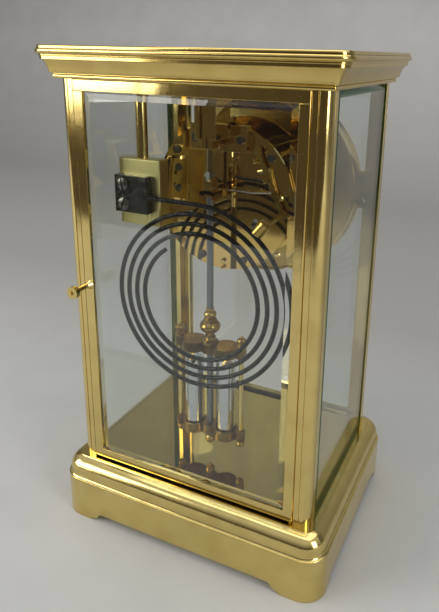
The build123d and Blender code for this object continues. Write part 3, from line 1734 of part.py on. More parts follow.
flange_back_y = bezel_front_y + bezel_flange_thickness
with BuildPart() as bezel:
    turned(
        (
            (bezel_mouth_radius, bezel_front_y),
            (bezel_flange_radius, bezel_front_y),
            (bezel_flange_radius, flange_back_y),
            (bezel_radius, flange_back_y),
            (bezel_radius, bezel_back_y),
            (bezel_radius - bezel_seat_wall, bezel_back_y),
            (bezel_radius - bezel_seat_wall, dial_face_y),
            (bezel_sight_radius, dial_face_y),
            (bezel_sight_radius, dial_face_y - dial_thickness),
        ),
        lengthwise(*centre_place),
    )
save(bezel, "bezel")

# Pierced leaf brackets between the bezel and the front posts
bracket_front_y = -post_inner_y + fit
with BuildPart() as dial_brackets:
    tail_x = side_glass_inner_x - glass_clearance
    for s in (-1, 1):
        body_x = s * (bezel_radius + bracket_lobe_radius)
        lobe_x = s * (bezel_radius + bracket_lobe_radius / 2)
        with BuildSketch(facing(bracket_front_y)):
            with Locations((body_x, dial_z)):
                Circle(bracket_body_radius)
            with Locations((lobe_x, dial_z + bracket_lobe_rise), (lobe_x, dial_z - bracket_lobe_rise)):
                Circle(bracket_lobe_radius)
            with Locations((s * (bezel_radius + tail_x) / 2, dial_z)):
                Rectangle(tail_x - bezel_radius, bracket_tail_height)
            with Locations((0, dial_z)):
                Circle(bezel_radius + fit, mode=Mode.SUBTRACT)
            with Locations((lobe_x, dial_z + bracket_lobe_rise), (lobe_x, dial_z - bracket_lobe_rise)):
                Circle(bracket_pierce_radius, mode=Mode.SUBTRACT)
            with Locations((body_x, dial_z)):
                Circle(bracket_pierce_radius, mode=Mode.SUBTRACT)
        extrude(amount=-bracket_thickness)
save(dial_brackets, "dial_brackets")

# Suspension cock: two feet on the back plate, a bridge for the pallet arbor and two cheeks
with BuildPart() as suspension_cock:
    for s in (-1, 1):
        foot_x = sorted((s * cock_foot_inner, s * cock_foot_outer))
        block(
            (foot_x[0], back_plate_y, cock_foot_bottom),
            (foot_x[1], cock_bridge_back, cock_foot_top),
        )
        cheek_x = sorted((s * cock_cheek_inner, s * cock_cheek_outer))
        block(
            (cheek_x[0], cock_bridge_front, cock_top - cock_cheek_drop),
            (cheek_x[1], cock_reach, cock_top),
        )
    block(
        (-cock_foot_inner, cock_bridge_front, cock_foot_bottom),
        (cock_foot_inner, cock_bridge_back, cock_top - cock_cheek_drop + cock_bridge_rise),
    )
    bar_along_y(
        *pallet_place,
        cock_bridge_front,
        cock_bridge_back,
        pivot_radius + pivot_clearance,
        Mode.SUBTRACT,
    )
    for place in cock_screw_places:
        bar_along_y(*place, back_plate_y, cock_bridge_back, screw_hole, Mode.SUBTRACT)
    pin_z = suspension_block_top - suspension_pin_drop
    bar = cock_cheek_outer + overrun
    pin_hole = suspension_pin_radius + fit
    with Locations(Location((0, suspension_y, pin_z), (0, 90, 0))):
        Cylinder(pin_hole, 2 * bar, mode=Mode.SUBTRACT)
save(suspension_cock, "suspension_cock")

# Suspension block between the cheeks, held by a cross pin
block_bottom = pallet_z + suspension_block_gap
with BuildPart() as suspension_block:
    half_depth = suspension_block_depth / 2
    block(
        (-suspension_block_half, suspension_y - half_depth, block_bottom),
        (suspension_block_half, suspension_y + half_depth, suspension_block_top),
    )
    block(
        (-spring_slot_half, suspension_y - half_depth - overrun, block_bottom - overrun),
        (
            spring_slot_half,
            suspension_y + half_depth + overrun,
            block_bottom + spring_slot_height,
        ),
        mode=Mode.SUBTRACT,
    )
    with Locations(Location((0, suspension_y, pin_z), (0, 90, 0))):
        Cylinder(suspension_pin_radius, 2 * cock_cheek_outer)
save(suspension_block, "suspension_block")

# Suspension spring below its bending line, with the clamp and cross pin that carry the rod
clamp_bottom = spring_bottom - clamp_height
clamp_pin_z = clamp_bottom + clamp_height / 2
with BuildPart() as suspension_spring:
    spring_half = spring_width / 2
    block(
        (-spring_thickness / 2, suspension_y - spring_half, spring_bottom - spring_in_clamp),
        (spring_thickness / 2, suspension_y + spring_half, pallet_z),
    )
    block(
        (-clamp_half, suspension_y - spring_half, clamp_bottom),
        (clamp_half, suspension_y + spring_half, spring_bottom),
    )
    with Locations(Location((0, suspension_y, clamp_pin_z), (0, 90, 0))):
        Cylinder(clamp_pin_radius, 2 * clamp_pin_half)
save(suspension_spring, "suspension_spring")

# Pendulum rod with the double hook that hangs on the clamp's pin
with BuildPart() as pendulum_rod:
    bar_along_z(0, suspension_y, rod_end_z, hook_bottom + rod_in_hook, rod_radius)
    hook_top = hook_bottom + hook_height
    cheek_inner = hook_half_width - hook_cheek
    half_depth = hook_depth / 2
    block(
        (-hook_half_width, suspension_y - half_depth, hook_bottom),
        (hook_half_width, suspension_y + half_depth, hook_top),
    )
    block(
        (-cheek_inner, suspension_y - half_depth - overrun, clamp_bottom - touch_gap),
        (cheek_inner, suspension_y + half_depth + overrun, hook_top + overrun),
        mode=Mode.SUBTRACT,
    )
    with Locations(Location((0, suspension_y, clamp_pin_z), (0, 90, 0))):
        Cylinder(clamp_pin_radius + fit, 2 * (hook_half_width + overrun), mode=Mode.SUBTRACT)
save(pendulum_rod, "pendulum_rod")


# Jar frames: two lobes joined by a waist, with an ear at each end for the tie rods
def jar_frame_outline():
    lobes = [(s * jar_half_spacing, suspension_y) for s in (-1, 1)]
    ears = [(s * cap_ear_x, suspension_y) for s in (-1, 1)]
    with Locations(*lobes):
        Circle(cap_lobe_radius)
    with Locations((0, suspension_y)):
        Circle(cap_waist_radius)
    with Locations(*ears):
        Circle(cap_ear_radius)
    with Locations((0, suspension_y)):
        Rectangle(2 * cap_ear_x, cap_neck_height)
    with Locations((0, suspension_y)):
        Circle(rod_radius + fit, mode=Mode.SUBTRACT)
    with Locations(*ears):
        Circle(tie_rod_radius + fit, mode=Mode.SUBTRACT)


def jar_seats(bottom, height):
    with BuildSketch(Plane.XY.offset(bottom)) as seats:
        with Locations(*[(s * jar_half_spacing, suspension_y) for s in (-1, 1)]):
            Circle(jar_radius + jar_seat_clearance)
    extrude(seats.sketch, amount=height, mode=Mode.SUBTRACT)


with BuildPart() as jar_cap:
    with BuildSketch(Plane.XY.offset(cap_bottom)):
        jar_frame_outline()
    extrude(amount=cap_top - cap_bottom)
    jar_seats(cap_bottom, cap_top - cap_roof - cap_bottom)
save(jar_cap, "jar_cap")

with BuildPart() as jar_tray:
    with BuildSketch(Plane.XY.offset(tray_bottom)):
        jar_frame_outline()
    extrude(amount=tray_top - tray_bottom)
    jar_seats(tray_bottom + tray_floor, tray_top - tray_bottom)
save(jar_tray, "jar_tray")

jar_bottom = tray_bottom + tray_floor
jar_top = cap_top - cap_roof - touch_gap
with BuildPart() as mercury_jars:
    for s in (-1, 1):
        turned(
            (
                (0, jar_bottom),
                (jar_radius, jar_bottom),
                (jar_radius, jar_top),
                (jar_radius - jar_wall, jar_top),
                (jar_radius - jar_wall, jar_bottom + jar_bottom_thickness),
                (0, jar_bottom + jar_bottom_thickness),
            ),
            upright(s * jar_half_spacing, suspension_y),
        )
save(mercury_jars, "mercury_jars")

with BuildPart() as mercury:
    for s in (-1, 1):
        mercury_radius = jar_radius - jar_wall - mercury_clearance
        low_z = jar_bottom + jar_bottom_thickness + mercury_clearance
        bar_along_z(s * jar_half_spacing, suspension_y, low_z, mercury_top, mercury_radius)
save(mercury, "mercury")

with BuildPart() as tie_rods:
    for s in (-1, 1):
        low_z, high_z = tray_bottom - tie_rod_below, cap_top + tie_rod_above
        bar_along_z(s * cap_ear_x, suspension_y, low_z, high_z, tie_rod_radius)
save(tie_rods, "tie_rods")


# Turned finial over the cap: a foot, three balls and a collar, bored for the rod
def ball_stack(bore):
    balls = (
        (bulb_lower_z, bulb_lower_radius),
        (bulb_main_z, bulb_main_radius),
        (bulb_upper_z, bulb_upper_radius),
    )
    bar_along_z(0, suspension_y, cap_top, cap_top + bulb_base_height, bulb_base_radius)
    for z, radius in balls:
        with Locations((0, suspension_y, z)):
            Sphere(radius)
    bar_along_z(0, suspension_y, cap_top, bulb_top, bulb_collar_radius)
    bar_along_z(0, suspension_y, cap_top, bulb_top, bore, Mode.SUBTRACT)


def end_finial(x, bottom, height, bore_low, bore_high):
    top = bottom + height
    waist = finial_nut_radius - finial_waist_inset
    turned(
        (
            (0, bottom),
            (finial_nut_radius, bottom),
            (finial_nut_radius, bottom + height / 3),
            (waist, bottom + height / 2),
            (waist, top - finial_tip_bevel),
            (waist - finial_tip_bevel, top),
            (0, top),
        ),
        upright(x, suspension_y),
    )
    bore = tie_rod_radius + finial_bore_clearance
    bar_along_z(x, suspension_y, bore_low, bore_high, bore, Mode.SUBTRACT)


with BuildPart() as pendulum_finials:
    ball_stack(rod_radius + finial_bore_clearance)
    rod_room = finial_bore_clearance
    for s in (-1, 1):
        x = s * cap_ear_x
        end_finial(x, cap_top, finial_nut_height, cap_top, cap_top + tie_rod_above + rod_room)
        foot_bottom = tray_bottom - finial_foot_height
        end_finial(
            x, foot_bottom, finial_foot_height, tray_bottom - tie_rod_below - rod_room, tray_bottom
        )
    turned(
        (
            (0, bob_nut_bottom),
            (bob_nut_radius / 2, bob_nut_bottom),
            (bob_nut_radius, bob_nut_bottom + bob_nut_collar),
            (bob_nut_radius, tray_bottom - bob_nut_collar),
            (bob_nut_radius - finial_tip_bevel, tray_bottom),
            (0, tray_bottom),
        ),
        upright(0, suspension_y),
    )
    bob_bore = rod_radius + finial_bore_clearance
    bar_along_z(0, suspension_y, rod_end_z - rod_room, tray_bottom, bob_bore, Mode.SUBTRACT)
save(pendulum_finials, "pendulum_finials")
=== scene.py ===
import json
import math

import bmesh
import bpy
from mathutils import Matrix, Vector


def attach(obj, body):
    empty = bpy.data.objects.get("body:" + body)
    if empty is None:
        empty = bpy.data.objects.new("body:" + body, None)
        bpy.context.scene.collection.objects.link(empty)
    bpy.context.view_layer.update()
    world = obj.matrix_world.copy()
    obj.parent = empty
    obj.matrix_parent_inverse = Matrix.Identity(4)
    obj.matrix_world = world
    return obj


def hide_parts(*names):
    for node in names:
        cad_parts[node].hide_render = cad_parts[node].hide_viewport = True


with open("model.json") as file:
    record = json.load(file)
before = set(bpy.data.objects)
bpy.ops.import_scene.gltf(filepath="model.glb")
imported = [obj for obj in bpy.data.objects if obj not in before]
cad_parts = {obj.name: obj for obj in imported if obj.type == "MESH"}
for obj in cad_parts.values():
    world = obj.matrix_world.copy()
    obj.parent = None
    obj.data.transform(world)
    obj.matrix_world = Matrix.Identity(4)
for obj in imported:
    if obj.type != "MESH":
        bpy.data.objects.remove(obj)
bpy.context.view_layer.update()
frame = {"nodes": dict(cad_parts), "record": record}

nodes = frame["nodes"]
body_of_node = {
    node: body
    for body, carried in frame["record"]["behaviour"]["bodies"].items()
    for node in carried
}

# Sizes of the clock in millimetres, as in the model. The dial faces -Y, the rear door +Y, and +X
# is on the left as seen from behind.
MM = 0.001
FRONT, REAR, UP, DOWN = (0, -1, 0), (0, 1, 0), (0, 0, 1), (0, 0, -1)
dial_z = 222.3
dial_face_y = -43.0
winding_holes = ((22.5, 209.8), (-22.5, 209.8))
winding_hole_radius = 2.9
bracket_screw_x, bracket_screw_rise = 66.75, 8.0
back_plate_y = 14.0
hook_foot = 225.9
pendulum_y, cap_top, tray_bottom, tie_rod_x = 30.0, 131.0, 65.5, 22.3
gong_screw_x, gong_screw_seat_y = 47.4, 50.0

# Distances in metres within which points are one: in a copy of the model's piece, in a new piece
ONE_CORNER, ONE_RIM = 0.000002, 0.000001
# A radius in millimetres that counts as none
ON_AXIS = 1e-6


# ---------------------------------------------------------------- small tools
# A colour from its sRGB hex value, turned linear
def tone(code):
    parts = [int(code[i:i + 2], 16) / 255 for i in (1, 3, 5)]
    line = [c / 12.92 if c <= 0.04045 else ((c + 0.055) / 1.055) ** 2.4 for c in parts]
    return (*line, 1.0)


# Fills a node's sockets: a node or a socket is linked, anything else is a value
def fill(node, inputs):
    links = node.id_data.links
    for key, value in inputs.items():
        if isinstance(value, bpy.types.Node):
            links.new(value.outputs[0], node.inputs[key])
        elif isinstance(value, bpy.types.NodeSocket):
            links.new(value, node.inputs[key])
        else:
            node.inputs[key].default_value = value
    return node


def add(tree, kind, inputs=None, **settings):
    node = tree.nodes.new(kind)
    for name, value in settings.items():
        setattr(node, name, value)
    return fill(node, inputs or {})


# The colour mixer's sockets go by number: its share, its two colours, and what comes out
SHARE, FROM_COLOUR, TO_COLOUR, MIXED = 0, 6, 7, 2


# A pattern's scale on Object coordinates, from the size of its grain in millimetres
def per_mm(grain_mm):
    return 1 / (grain_mm * MM)


# The same, with the grain drawn out along the axis that has the smallest number
def drawn_out(grain_mm, along):
    return tuple(share / (grain_mm * MM) for share in along)


# The part of a pattern that counts, and what it turns into
def span(low, high, to_low=0.0, to_high=1.0):
    return {"From Min": low, "From Max": high, "To Min": to_low, "To Max": to_high}


def finish_of(name):
    finish = bpy.data.materials.new(name)
    finish.use_nodes = True
    tree = finish.node_tree
    place = add(tree, "ShaderNodeTexCoord").outputs["Object"]
    return finish, tree, place, tree.nodes["Principled BSDF"]


# ---------------------------------------------------------------- finishes
# Lacquered brass: yellow metal under a clear skin. It shows clouded patches where the lacquer
# has aged, fine dark specks, and wiping marks that run one way. The specks and marks are drawn
# coarser than real ones, so that they show. Relief is in metres.
def brass(name, light, deep, roughness, relief, wipe=(1, 1, 12), speck=0.5, cloud=0.35):
    patch_mm, speck_mm, mark_mm, wave_mm = 14, 1.1, 0.8, 22
    finish, tree, place, shader = finish_of(name)
    lacquer = add(tree, "ShaderNodeTexNoise", {
        "Vector": place, "Scale": per_mm(patch_mm), "Detail": 4.0,
    })
    patch = add(tree, "ShaderNodeMapRange", {"Value": lacquer, **span(0.42, 0.68, 0.0, cloud)})
    body = add(tree, "ShaderNodeMix", {
        SHARE: patch, FROM_COLOUR: tone(light), TO_COLOUR: tone(deep),
    }, data_type="RGBA")
    specks = add(tree, "ShaderNodeTexNoise", {
        "Vector": place, "Scale": per_mm(speck_mm), "Detail": 3.0,
    })
    dot = add(tree, "ShaderNodeMapRange", {"Value": specks, **span(0.735, 0.76, 0.0, speck)})
    colour = add(tree, "ShaderNodeMix", {
        SHARE: dot, FROM_COLOUR: body.outputs[MIXED], TO_COLOUR: tone("#4A3B1C"),
    }, data_type="RGBA")
    along = add(tree, "ShaderNodeMapping", {"Vector": place, "Scale": drawn_out(mark_mm, wipe)})
    marks = add(tree, "ShaderNodeTexNoise", {"Vector": along, "Scale": 1.0, "Detail": 5.0})
    rub = add(tree, "ShaderNodeMapRange", {
        "Value": marks, **span(0.35, 0.75, roughness * 0.75, roughness * 1.35),
    })
    rough = add(tree, "ShaderNodeMath", {0: rub, 1: dot}, operation="ADD")
    waves = add(tree, "ShaderNodeTexNoise", {
        "Vector": place, "Scale": per_mm(wave_mm), "Detail": 1.0,
    })
    fine = add(tree, "ShaderNodeMath", {0: marks, 1: 0.02}, operation="MULTIPLY")
    height = add(tree, "ShaderNodeMath", {0: waves, 1: fine}, operation="ADD")
    bump = add(tree, "ShaderNodeBump", {"Strength": 1.0, "Distance": relief, "Height": height})
    fill(shader, {
        "Metallic": 1.0, "Base Color": colour.outputs[MIXED], "Roughness": rough, "Normal": bump,
    })
    return finish


# Turned and ground steel: grey metal with fine grinding lines, drawn coarser than real ones
def steel(name, light, deep, roughness, grain=(1, 1, 18)):
    line_mm = 0.7
    finish, tree, place, shader = finish_of(name)
    along = add(tree, "ShaderNodeMapping", {"Vector": place, "Scale": drawn_out(line_mm, grain)})
    lines = add(tree, "ShaderNodeTexNoise", {"Vector": along, "Scale": 1.0, "Detail": 4.0})
    share = add(tree, "ShaderNodeMapRange", {"Value": lines, **span(0.3, 0.7)})
    colour = add(tree, "ShaderNodeMix", {
        SHARE: share, FROM_COLOUR: tone(light), TO_COLOUR: tone(deep),
    }, data_type="RGBA")
    rub = add(tree, "ShaderNodeMapRange", {
        "Value": lines, **span(0.3, 0.7, roughness * 0.8, roughness * 1.3),
    })
    fill(shader, {"Metallic": 1.0, "Base Color": colour.outputs[MIXED], "Roughness": rub})
    return finish


# Oil-blackened steel and iron: a near-black skin with a sheen, more or less grainy
def blackened(name, light, deep, roughness, relief, grain_mm=0.9, gloss=0.3, coat=0.0):
    finish, tree, place, shader = finish_of(name)
    grain = add(tree, "ShaderNodeTexNoise", {
        "Vector": place, "Scale": per_mm(grain_mm), "Detail": 5.0,
    })
    share = add(tree, "ShaderNodeMapRange", {"Value": grain, **span(0.35, 0.65)})
    colour = add(tree, "ShaderNodeMix", {
        SHARE: share, FROM_COLOUR: tone(light), TO_COLOUR: tone(deep),
    }, data_type="RGBA")
    rub = add(tree, "ShaderNodeMapRange", {
        "Value": grain, **span(0.3, 0.7, roughness * 0.8, roughness * 1.3),
    })
    bump = add(tree, "ShaderNodeBump", {"Strength": 1.0, "Distance": relief, "Height": grain})
    fill(shader, {
        "Metallic": 0.2, "Specular IOR Level": gloss, "Coat Weight": coat, "Coat Roughness": 0.08,
        "Base Color": colour.outputs[MIXED], "Roughness": rub, "Normal": bump,
    })
    return finish


# Clear plate: soda-lime glass, whose iron turns long paths through it green. Light for the
# shadows goes straight through it, as it does through real plate.
def glass(name, murk, per_metre, smear):
    film_mm = 30
    finish, tree, place, shader = finish_of(name)
    film = add(tree, "ShaderNodeTexNoise", {
        "Vector": place, "Scale": per_mm(film_mm), "Detail": 3.0,
    })
    haze = add(tree, "ShaderNodeMapRange", {"Value": film, **span(0.45, 0.8, 0.0, smear)})
    fill(shader, {
        "Transmission Weight": 1.0, "IOR": 1.52, "Base Color": tone("#FFFFFF"), "Roughness": haze,
    })
    ray = add(tree, "ShaderNodeLightPath")
    clear = add(tree, "ShaderNodeBsdfTransparent", {"Color": tone("#E4EFE9")})
    both = add(tree, "ShaderNodeMixShader", {
        0: ray.outputs["Is Shadow Ray"], 1: shader, 2: clear,
    })
    depth = add(tree, "ShaderNodeVolumeAbsorption", {"Color": tone(murk), "Density": per_metre})
    fill(tree.nodes["Material Output"], {"Surface": both, "Volume": depth})
    return finish


# The ground rim of thick plate: the long path through the sheet shows as a deep bottle green
def ground_edge(name, light, deep):
    grain_mm = 3.0
    finish, tree, place, shader = finish_of(name)
    grain = add(tree, "ShaderNodeTexNoise", {
        "Vector": place, "Scale": per_mm(grain_mm), "Detail": 4.0,
    })
    share = add(tree, "ShaderNodeMapRange", {"Value": grain, **span(0.35, 0.65)})
    colour = add(tree, "ShaderNodeMix", {
        SHARE: share, FROM_COLOUR: tone(light), TO_COLOUR: tone(deep),
    }, data_type="RGBA")
    fill(shader, {
        "Transmission Weight": 0.65, "IOR": 1.52, "Roughness": 0.16,
        "Base Color": colour.outputs[MIXED],
    })
    return finish


# Fired enamel: white or black glass over copper, glossy, with faint pitting
def enamel(name, light, deep):
    shade_mm, pit_mm = 18, 1.6
    finish, tree, place, shader = finish_of(name)
    shades = add(tree, "ShaderNodeTexNoise", {
        "Vector": place, "Scale": per_mm(shade_mm), "Detail": 3.0,
    })
    share = add(tree, "ShaderNodeMapRange", {"Value": shades, **span(0.4, 0.7)})
    colour = add(tree, "ShaderNodeMix", {
        SHARE: share, FROM_COLOUR: tone(light), TO_COLOUR: tone(deep),
    }, data_type="RGBA")
    pits = add(tree, "ShaderNodeTexNoise", {
        "Vector": place, "Scale": per_mm(pit_mm), "Detail": 2.0,
    })
    bump = add(tree, "ShaderNodeBump", {"Strength": 0.3, "Distance": 0.00005, "Height": pits})
    fill(shader, {
        "IOR": 1.5, "Roughness": 0.12, "Coat Weight": 0.4, "Coat Roughness": 0.05,
        "Base Color": colour.outputs[MIXED], "Normal": bump,
    })
    return finish


# The case's bars and frames: polished bright, so that they mirror the room softly
case_brass = brass("polished lacquered brass", "#E2CB86", "#C4AA64", 0.11, 0.00022)
# Base and cornice: cast, scraped and polished a little less, with gentle waves in the mirror
base_brass = brass("lacquered cast brass", "#E0CA84", "#C2A961", 0.15, 0.0003, wipe=(1, 1, 14))
# The moulding's brass is a darker copy of the base's brass, with painted shade in its tone
cornice_brass_shaded = brass(
    "lacquered brass moulding with painted shade", "#D8BF76", "#BCA05A", 0.13, 0.00012, wipe=(1, 1, 14)
)
# The floor inside the base: lapped flat until it mirrors the pendulum
floor_brass = brass(
    "mirror brass", "#CFB870", "#BDA45E", 0.03, 0.00002, speck=0.25, cloud=0.2
)
# The movement: plates stoned flat and polished, wheels cut from hard sheet and left duller
plate_brass = brass(
    "polished movement brass", "#E2C177", "#D3A95A", 0.06, 0.00008, speck=0.3, cloud=0.25
)
wheel_brass = brass("cut wheel brass", "#E0C67E", "#C9A95C", 0.24, 0.0001, speck=0.3)
# The pendulum's fittings: bare brass that has toned and, where it was cast, browned
aged_brass = brass(
    "toned pendulum brass", "#BFA05A", "#8F7238", 0.2, 0.0002, speck=0.4, cloud=0.6
)
brown_brass = brass(
    "browned cast brass", "#8C7242", "#60492A", 0.3, 0.0002, speck=0.4, cloud=0.8
)
# The gong's block: brushed one way, which gives a dull, streaky face
block_brass = brass(
    "brushed brass", "#D2C48C", "#BDAD72", 0.32, 0.0002, wipe=(1, 1, 30), speck=0.3
)
# Steels: ground arbors, a drawn rod with lines along it, turned screws, and near-black painted
# shade in their slots
ground_steel = steel("ground steel", "#B9B7B2", "#8E8C88", 0.28)
rod_steel = steel("drawn steel rod", "#8F9095", "#6E7077", 0.3, grain=(12, 12, 1))
screw_steel = steel("turned screw steel", "#86827E", "#4E4B49", 0.22)
slot_shade = blackened("screw slot painted shade", "#0A0908", "#060505", 0.5, 0.00001)
# Hands blued by heat, the gong's wire black from quenching in oil, the stud's coarse cast skin
blued_steel = blackened("heat-blued steel", "#1B2A55", "#141F42", 0.18, 0.00002, gloss=0.8)
gong_steel = blackened(
    "oil-blackened spring steel", "#0E0F13", "#09090C", 0.26, 0.00005, gloss=0.22
)
stud_iron = blackened(
    "blackened cast iron", "#070708", "#040405", 0.3, 0.0016, grain_mm=4.0, coat=0.6
)
# Glass: the case's bevelled plate with its green ground edges, and the thin blown jars
plate_glass = glass("bevelled plate glass", "#A6D8C0", 24.0, 0.008)
green_edge = ground_edge("ground glass edge", "#4B7D52", "#2E5A38")
jar_glass = glass("jar glass", "#D4E6DC", 10.0, 0.008)
# Mercury: a liquid mirror without grain
quicksilver = steel("mercury", "#D8D9DC", "#C8C9CD", 0.03, grain=(1, 1, 1))
# The dial: glass fired on, white with black markings, as glossy as china
dial_enamel = enamel("fired white enamel", "#F1ECDD", "#E7E0CC")
dial_black = enamel("fired black enamel", "#16161A", "#1D1D22")

finish_by_node = {}
for finish, names in (
    (base_brass, "base_moulding"),
    (cornice_brass_shaded, "cornice top_plate"),
    (case_brass, "rear_left_post rear_right_post front_right_post front_left_post"),
    (case_brass, "rear_door_frame front_door_frame rear_door_knob front_door_knob hinge_pins"),
    (case_brass, "ceiling_plate bezel dial_brackets gong_rod gong_rod_nuts tie_rods"),
    (brown_brass, "jar_cap jar_tray"),
    (aged_brass, "pendulum_finials hammer"),
    (floor_brass, "floor_plate"),
    (block_brass, "gong_block"),
    (plate_brass, "front_plate back_plate plate_pillars"),
    (plate_brass, "suspension_cock suspension_block anchor"),
    (wheel_brass, "going_barrel strike_barrel second_wheel centre_wheel third_wheel"),
    (wheel_brass, "escape_wheel strike_second_wheel pin_wheel strike_fly"),
    (wheel_brass, "minute_wheel hour_wheel"),
    (ground_steel, "cannon_pinion going_winding_arbor strike_winding_arbor suspension_spring"),
    (rod_steel, "pendulum_rod"),
    (screw_steel, "case_screws gong_screws movement_screws"),
    (blued_steel, "hour_hand minute_hand"),
    (gong_steel, "gong_coil"),
    (stud_iron, "gong_stud"),
    (plate_glass, "left_side_glass right_side_glass rear_door_glass front_door_glass"),
    (jar_glass, "mercury_jars"),
    (quicksilver, "mercury"),
    (dial_enamel, "dial_plate"),
):
    for name in names.split():
        finish_by_node[name] = finish
for name, node in nodes.items():
    node.data.materials.clear()
    node.data.materials.append(finish_by_node[name])


# ---------------------------------------------------------------- making pieces
def piece_from(name, build, finish, body="case", smooth=32):
    mesh = bpy.data.meshes.new(name)
    shape = bmesh.new()
    build(shape)
    shape.to_mesh(mesh)
    shape.free()
    mesh.materials.append(finish)
    mesh.shade_smooth()
    mesh.set_sharp_from_angle(angle=math.radians(smooth))
    piece = bpy.data.objects.new(name, mesh)
    bpy.context.scene.collection.objects.link(piece)
    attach(piece, body)
    return piece


# Points round a middle, in the plane of two directions
def ring_round(shape, middle, side, cross, radius, steps):
    ring = []
    for step in range(steps):
        turn = 2 * math.pi * step / steps
        out = side * math.cos(turn) + cross * math.sin(turn)
        ring.append(shape.verts.new((middle + out * radius) * MM))
    return ring


# A turned piece: points are (radius, distance along the axis), closed where they meet the axis
def turned(shape, points, start, along, steps):
    along = Vector(along).normalized()
    side = along.orthogonal().normalized()
    cross = along.cross(side)
    rings = []
    for radius, distance in points:
        middle = Vector(start) + along * distance
        if radius < ON_AXIS:
            rings.append([shape.verts.new(middle * MM)])
        else:
            rings.append(ring_round(shape, middle, side, cross, radius, steps))
    for low, high in zip(rings, rings[1:]):
        for step in range(steps):
            after = (step + 1) % steps
            corners = (
                low[step % len(low)], low[after % len(low)],
                high[after % len(high)], high[step % len(high)],
            )
            unique = list(dict.fromkeys(corners))
            if len(unique) > 2:
                shape.faces.new(unique)
    bmesh.ops.recalc_face_normals(shape, faces=shape.faces)


# Joins the seam of a turned ring, whose last point is its first
def close_ring(shape):
    bmesh.ops.remove_doubles(shape, verts=shape.verts, dist=ONE_RIM)
    bmesh.ops.recalc_face_normals(shape, faces=shape.faces)


# A rounded bead in a turned profile: between two shares of its half height, from -1 to 1
def bead(middle, radius, half, low, high):
    steps, start, end = 9, math.asin(low), math.asin(high)
    turns = [start + (end - start) * i / steps for i in range(steps + 1)]
    return [(radius * math.cos(t), middle + half * math.sin(t)) for t in turns]


# The profile of a low screw: its shank, the edge of its head and the eased top
def low_screw(shank, depth, head, top):
    edge, shoulder, height = 0.9, 1.3, 1.5
    return [
        (0, -depth), (shank, -depth), (shank, 0), (head, 0), (head, edge), (top, shoulder),
        (0, height),
    ]


# A flat piece: outline points are (x, z), and the thickness runs towards +Y from front_y
def flat_piece(shape, outline, front_y, thickness, ease):
    low = [shape.verts.new(Vector((x, front_y, z)) * MM) for x, z in outline]
    high = [shape.verts.new(Vector((x, front_y + thickness, z)) * MM) for x, z in outline]
    shape.faces.new(low)
    shape.faces.new(high[::-1])
    for index in range(len(outline)):
        after = (index + 1) % len(outline)
        shape.faces.new((low[after], low[index], high[index], high[after]))
    bmesh.ops.recalc_face_normals(shape, faces=shape.faces)
    level = 1e-9
    rims = [e for e in shape.edges if abs((e.verts[0].co - e.verts[1].co).y) < level]
    bmesh.ops.bevel(
        shape, geom=rims, offset=ease * MM, segments=2, profile=0.5, affect="EDGES"
    )


# A round bar along a path
def bar(shape, path, radius):
    steps = 16
    never_along = Vector((0.02, 0.99, 0.1))
    points = [Vector(p) for p in path]
    rings = []
    for index, point in enumerate(points):
        ahead = points[min(index + 1, len(points) - 1)] - points[max(index - 1, 0)]
        ahead.normalize()
        side = ahead.cross(never_along).normalized()
        rings.append(ring_round(shape, point, side, side.cross(ahead), radius, steps))
    for low, high in zip(rings, rings[1:]):
        for step in range(steps):
            after = (step + 1) % steps
            shape.faces.new((low[step], low[after], high[after], high[step]))
    shape.faces.new(rings[0][::-1])
    shape.faces.new(rings[-1])
    bmesh.ops.recalc_face_normals(shape, faces=shape.faces)


def plain_mesh(piece):
    view = bpy.context.evaluated_depsgraph_get()
    mesh = bpy.data.meshes.new_from_object(piece.evaluated_get(view))
    piece.modifiers.clear()
    piece.data = mesh


# The model's own piece with its sharp edges eased, as hand finishing leaves them
def eased(name, width):
    flat_within, sharp_from, smooth_below, flat_faces_lead = 0.3, 35, 40, 80
    mesh = nodes[name].data.copy()
    shape = bmesh.new()
    shape.from_mesh(mesh)
    bmesh.ops.remove_doubles(shape, verts=shape.verts, dist=ONE_CORNER)
    bmesh.ops.dissolve_limit(
        shape, angle_limit=math.radians(flat_within), verts=shape.verts, edges=shape.edges
    )
    sharp = [
        e for e in shape.edges
        if len(e.link_faces) == 2 and e.calc_face_angle() > math.radians(sharp_from)
    ]
    bmesh.ops.bevel(
        shape, geom=sharp, offset=width * MM, segments=2, profile=0.6, affect="EDGES",
        clamp_overlap=False,
    )
    shape.to_mesh(mesh)
    shape.free()
    mesh.shade_smooth()
    mesh.set_sharp_from_angle(angle=math.radians(smooth_below))
    piece = bpy.data.objects.new(name + "_eased", mesh)
    bpy.context.scene.collection.objects.link(piece)
    weighted = piece.modifiers.new("even shading", "WEIGHTED_NORMAL")
    weighted.keep_sharp = True
    weighted.weight = flat_faces_lead
    plain_mesh(piece)
    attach(piece, body_of_node[name])
    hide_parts(name)
    return piece


# Gives a second finish to the faces that the test picks
def refinished(piece, finish, picks):
    piece.data.materials.append(finish)
    for face in piece.data.polygons:
        if picks(face):
            face.material_index = 1


# How wide the edges are eased, in millimetres
EASED = {
    "base_moulding": 0.35, "cornice": 0.2, "floor_plate": 0.3,
    "rear_left_post": 0.12, "rear_right_post": 0.12,
    "front_right_post": 0.12, "front_left_post": 0.12,
    "rear_door_frame": 0.2, "front_door_frame": 0.2, "gong_block": 0.15, "gong_stud": 0.5,
    "suspension_cock": 0.2, "suspension_block": 0.2, "jar_cap": 0.25, "jar_tray": 0.25,
    "bezel": 0.15,
}
for name, width in EASED.items():
    eased(name, width)

# The pendulum rod hangs from a brass hook: above the hook's foot the piece is brass
refinished(eased("pendulum_rod", 0.12), plate_brass, lambda face: face.center.z > hook_foot * MM)

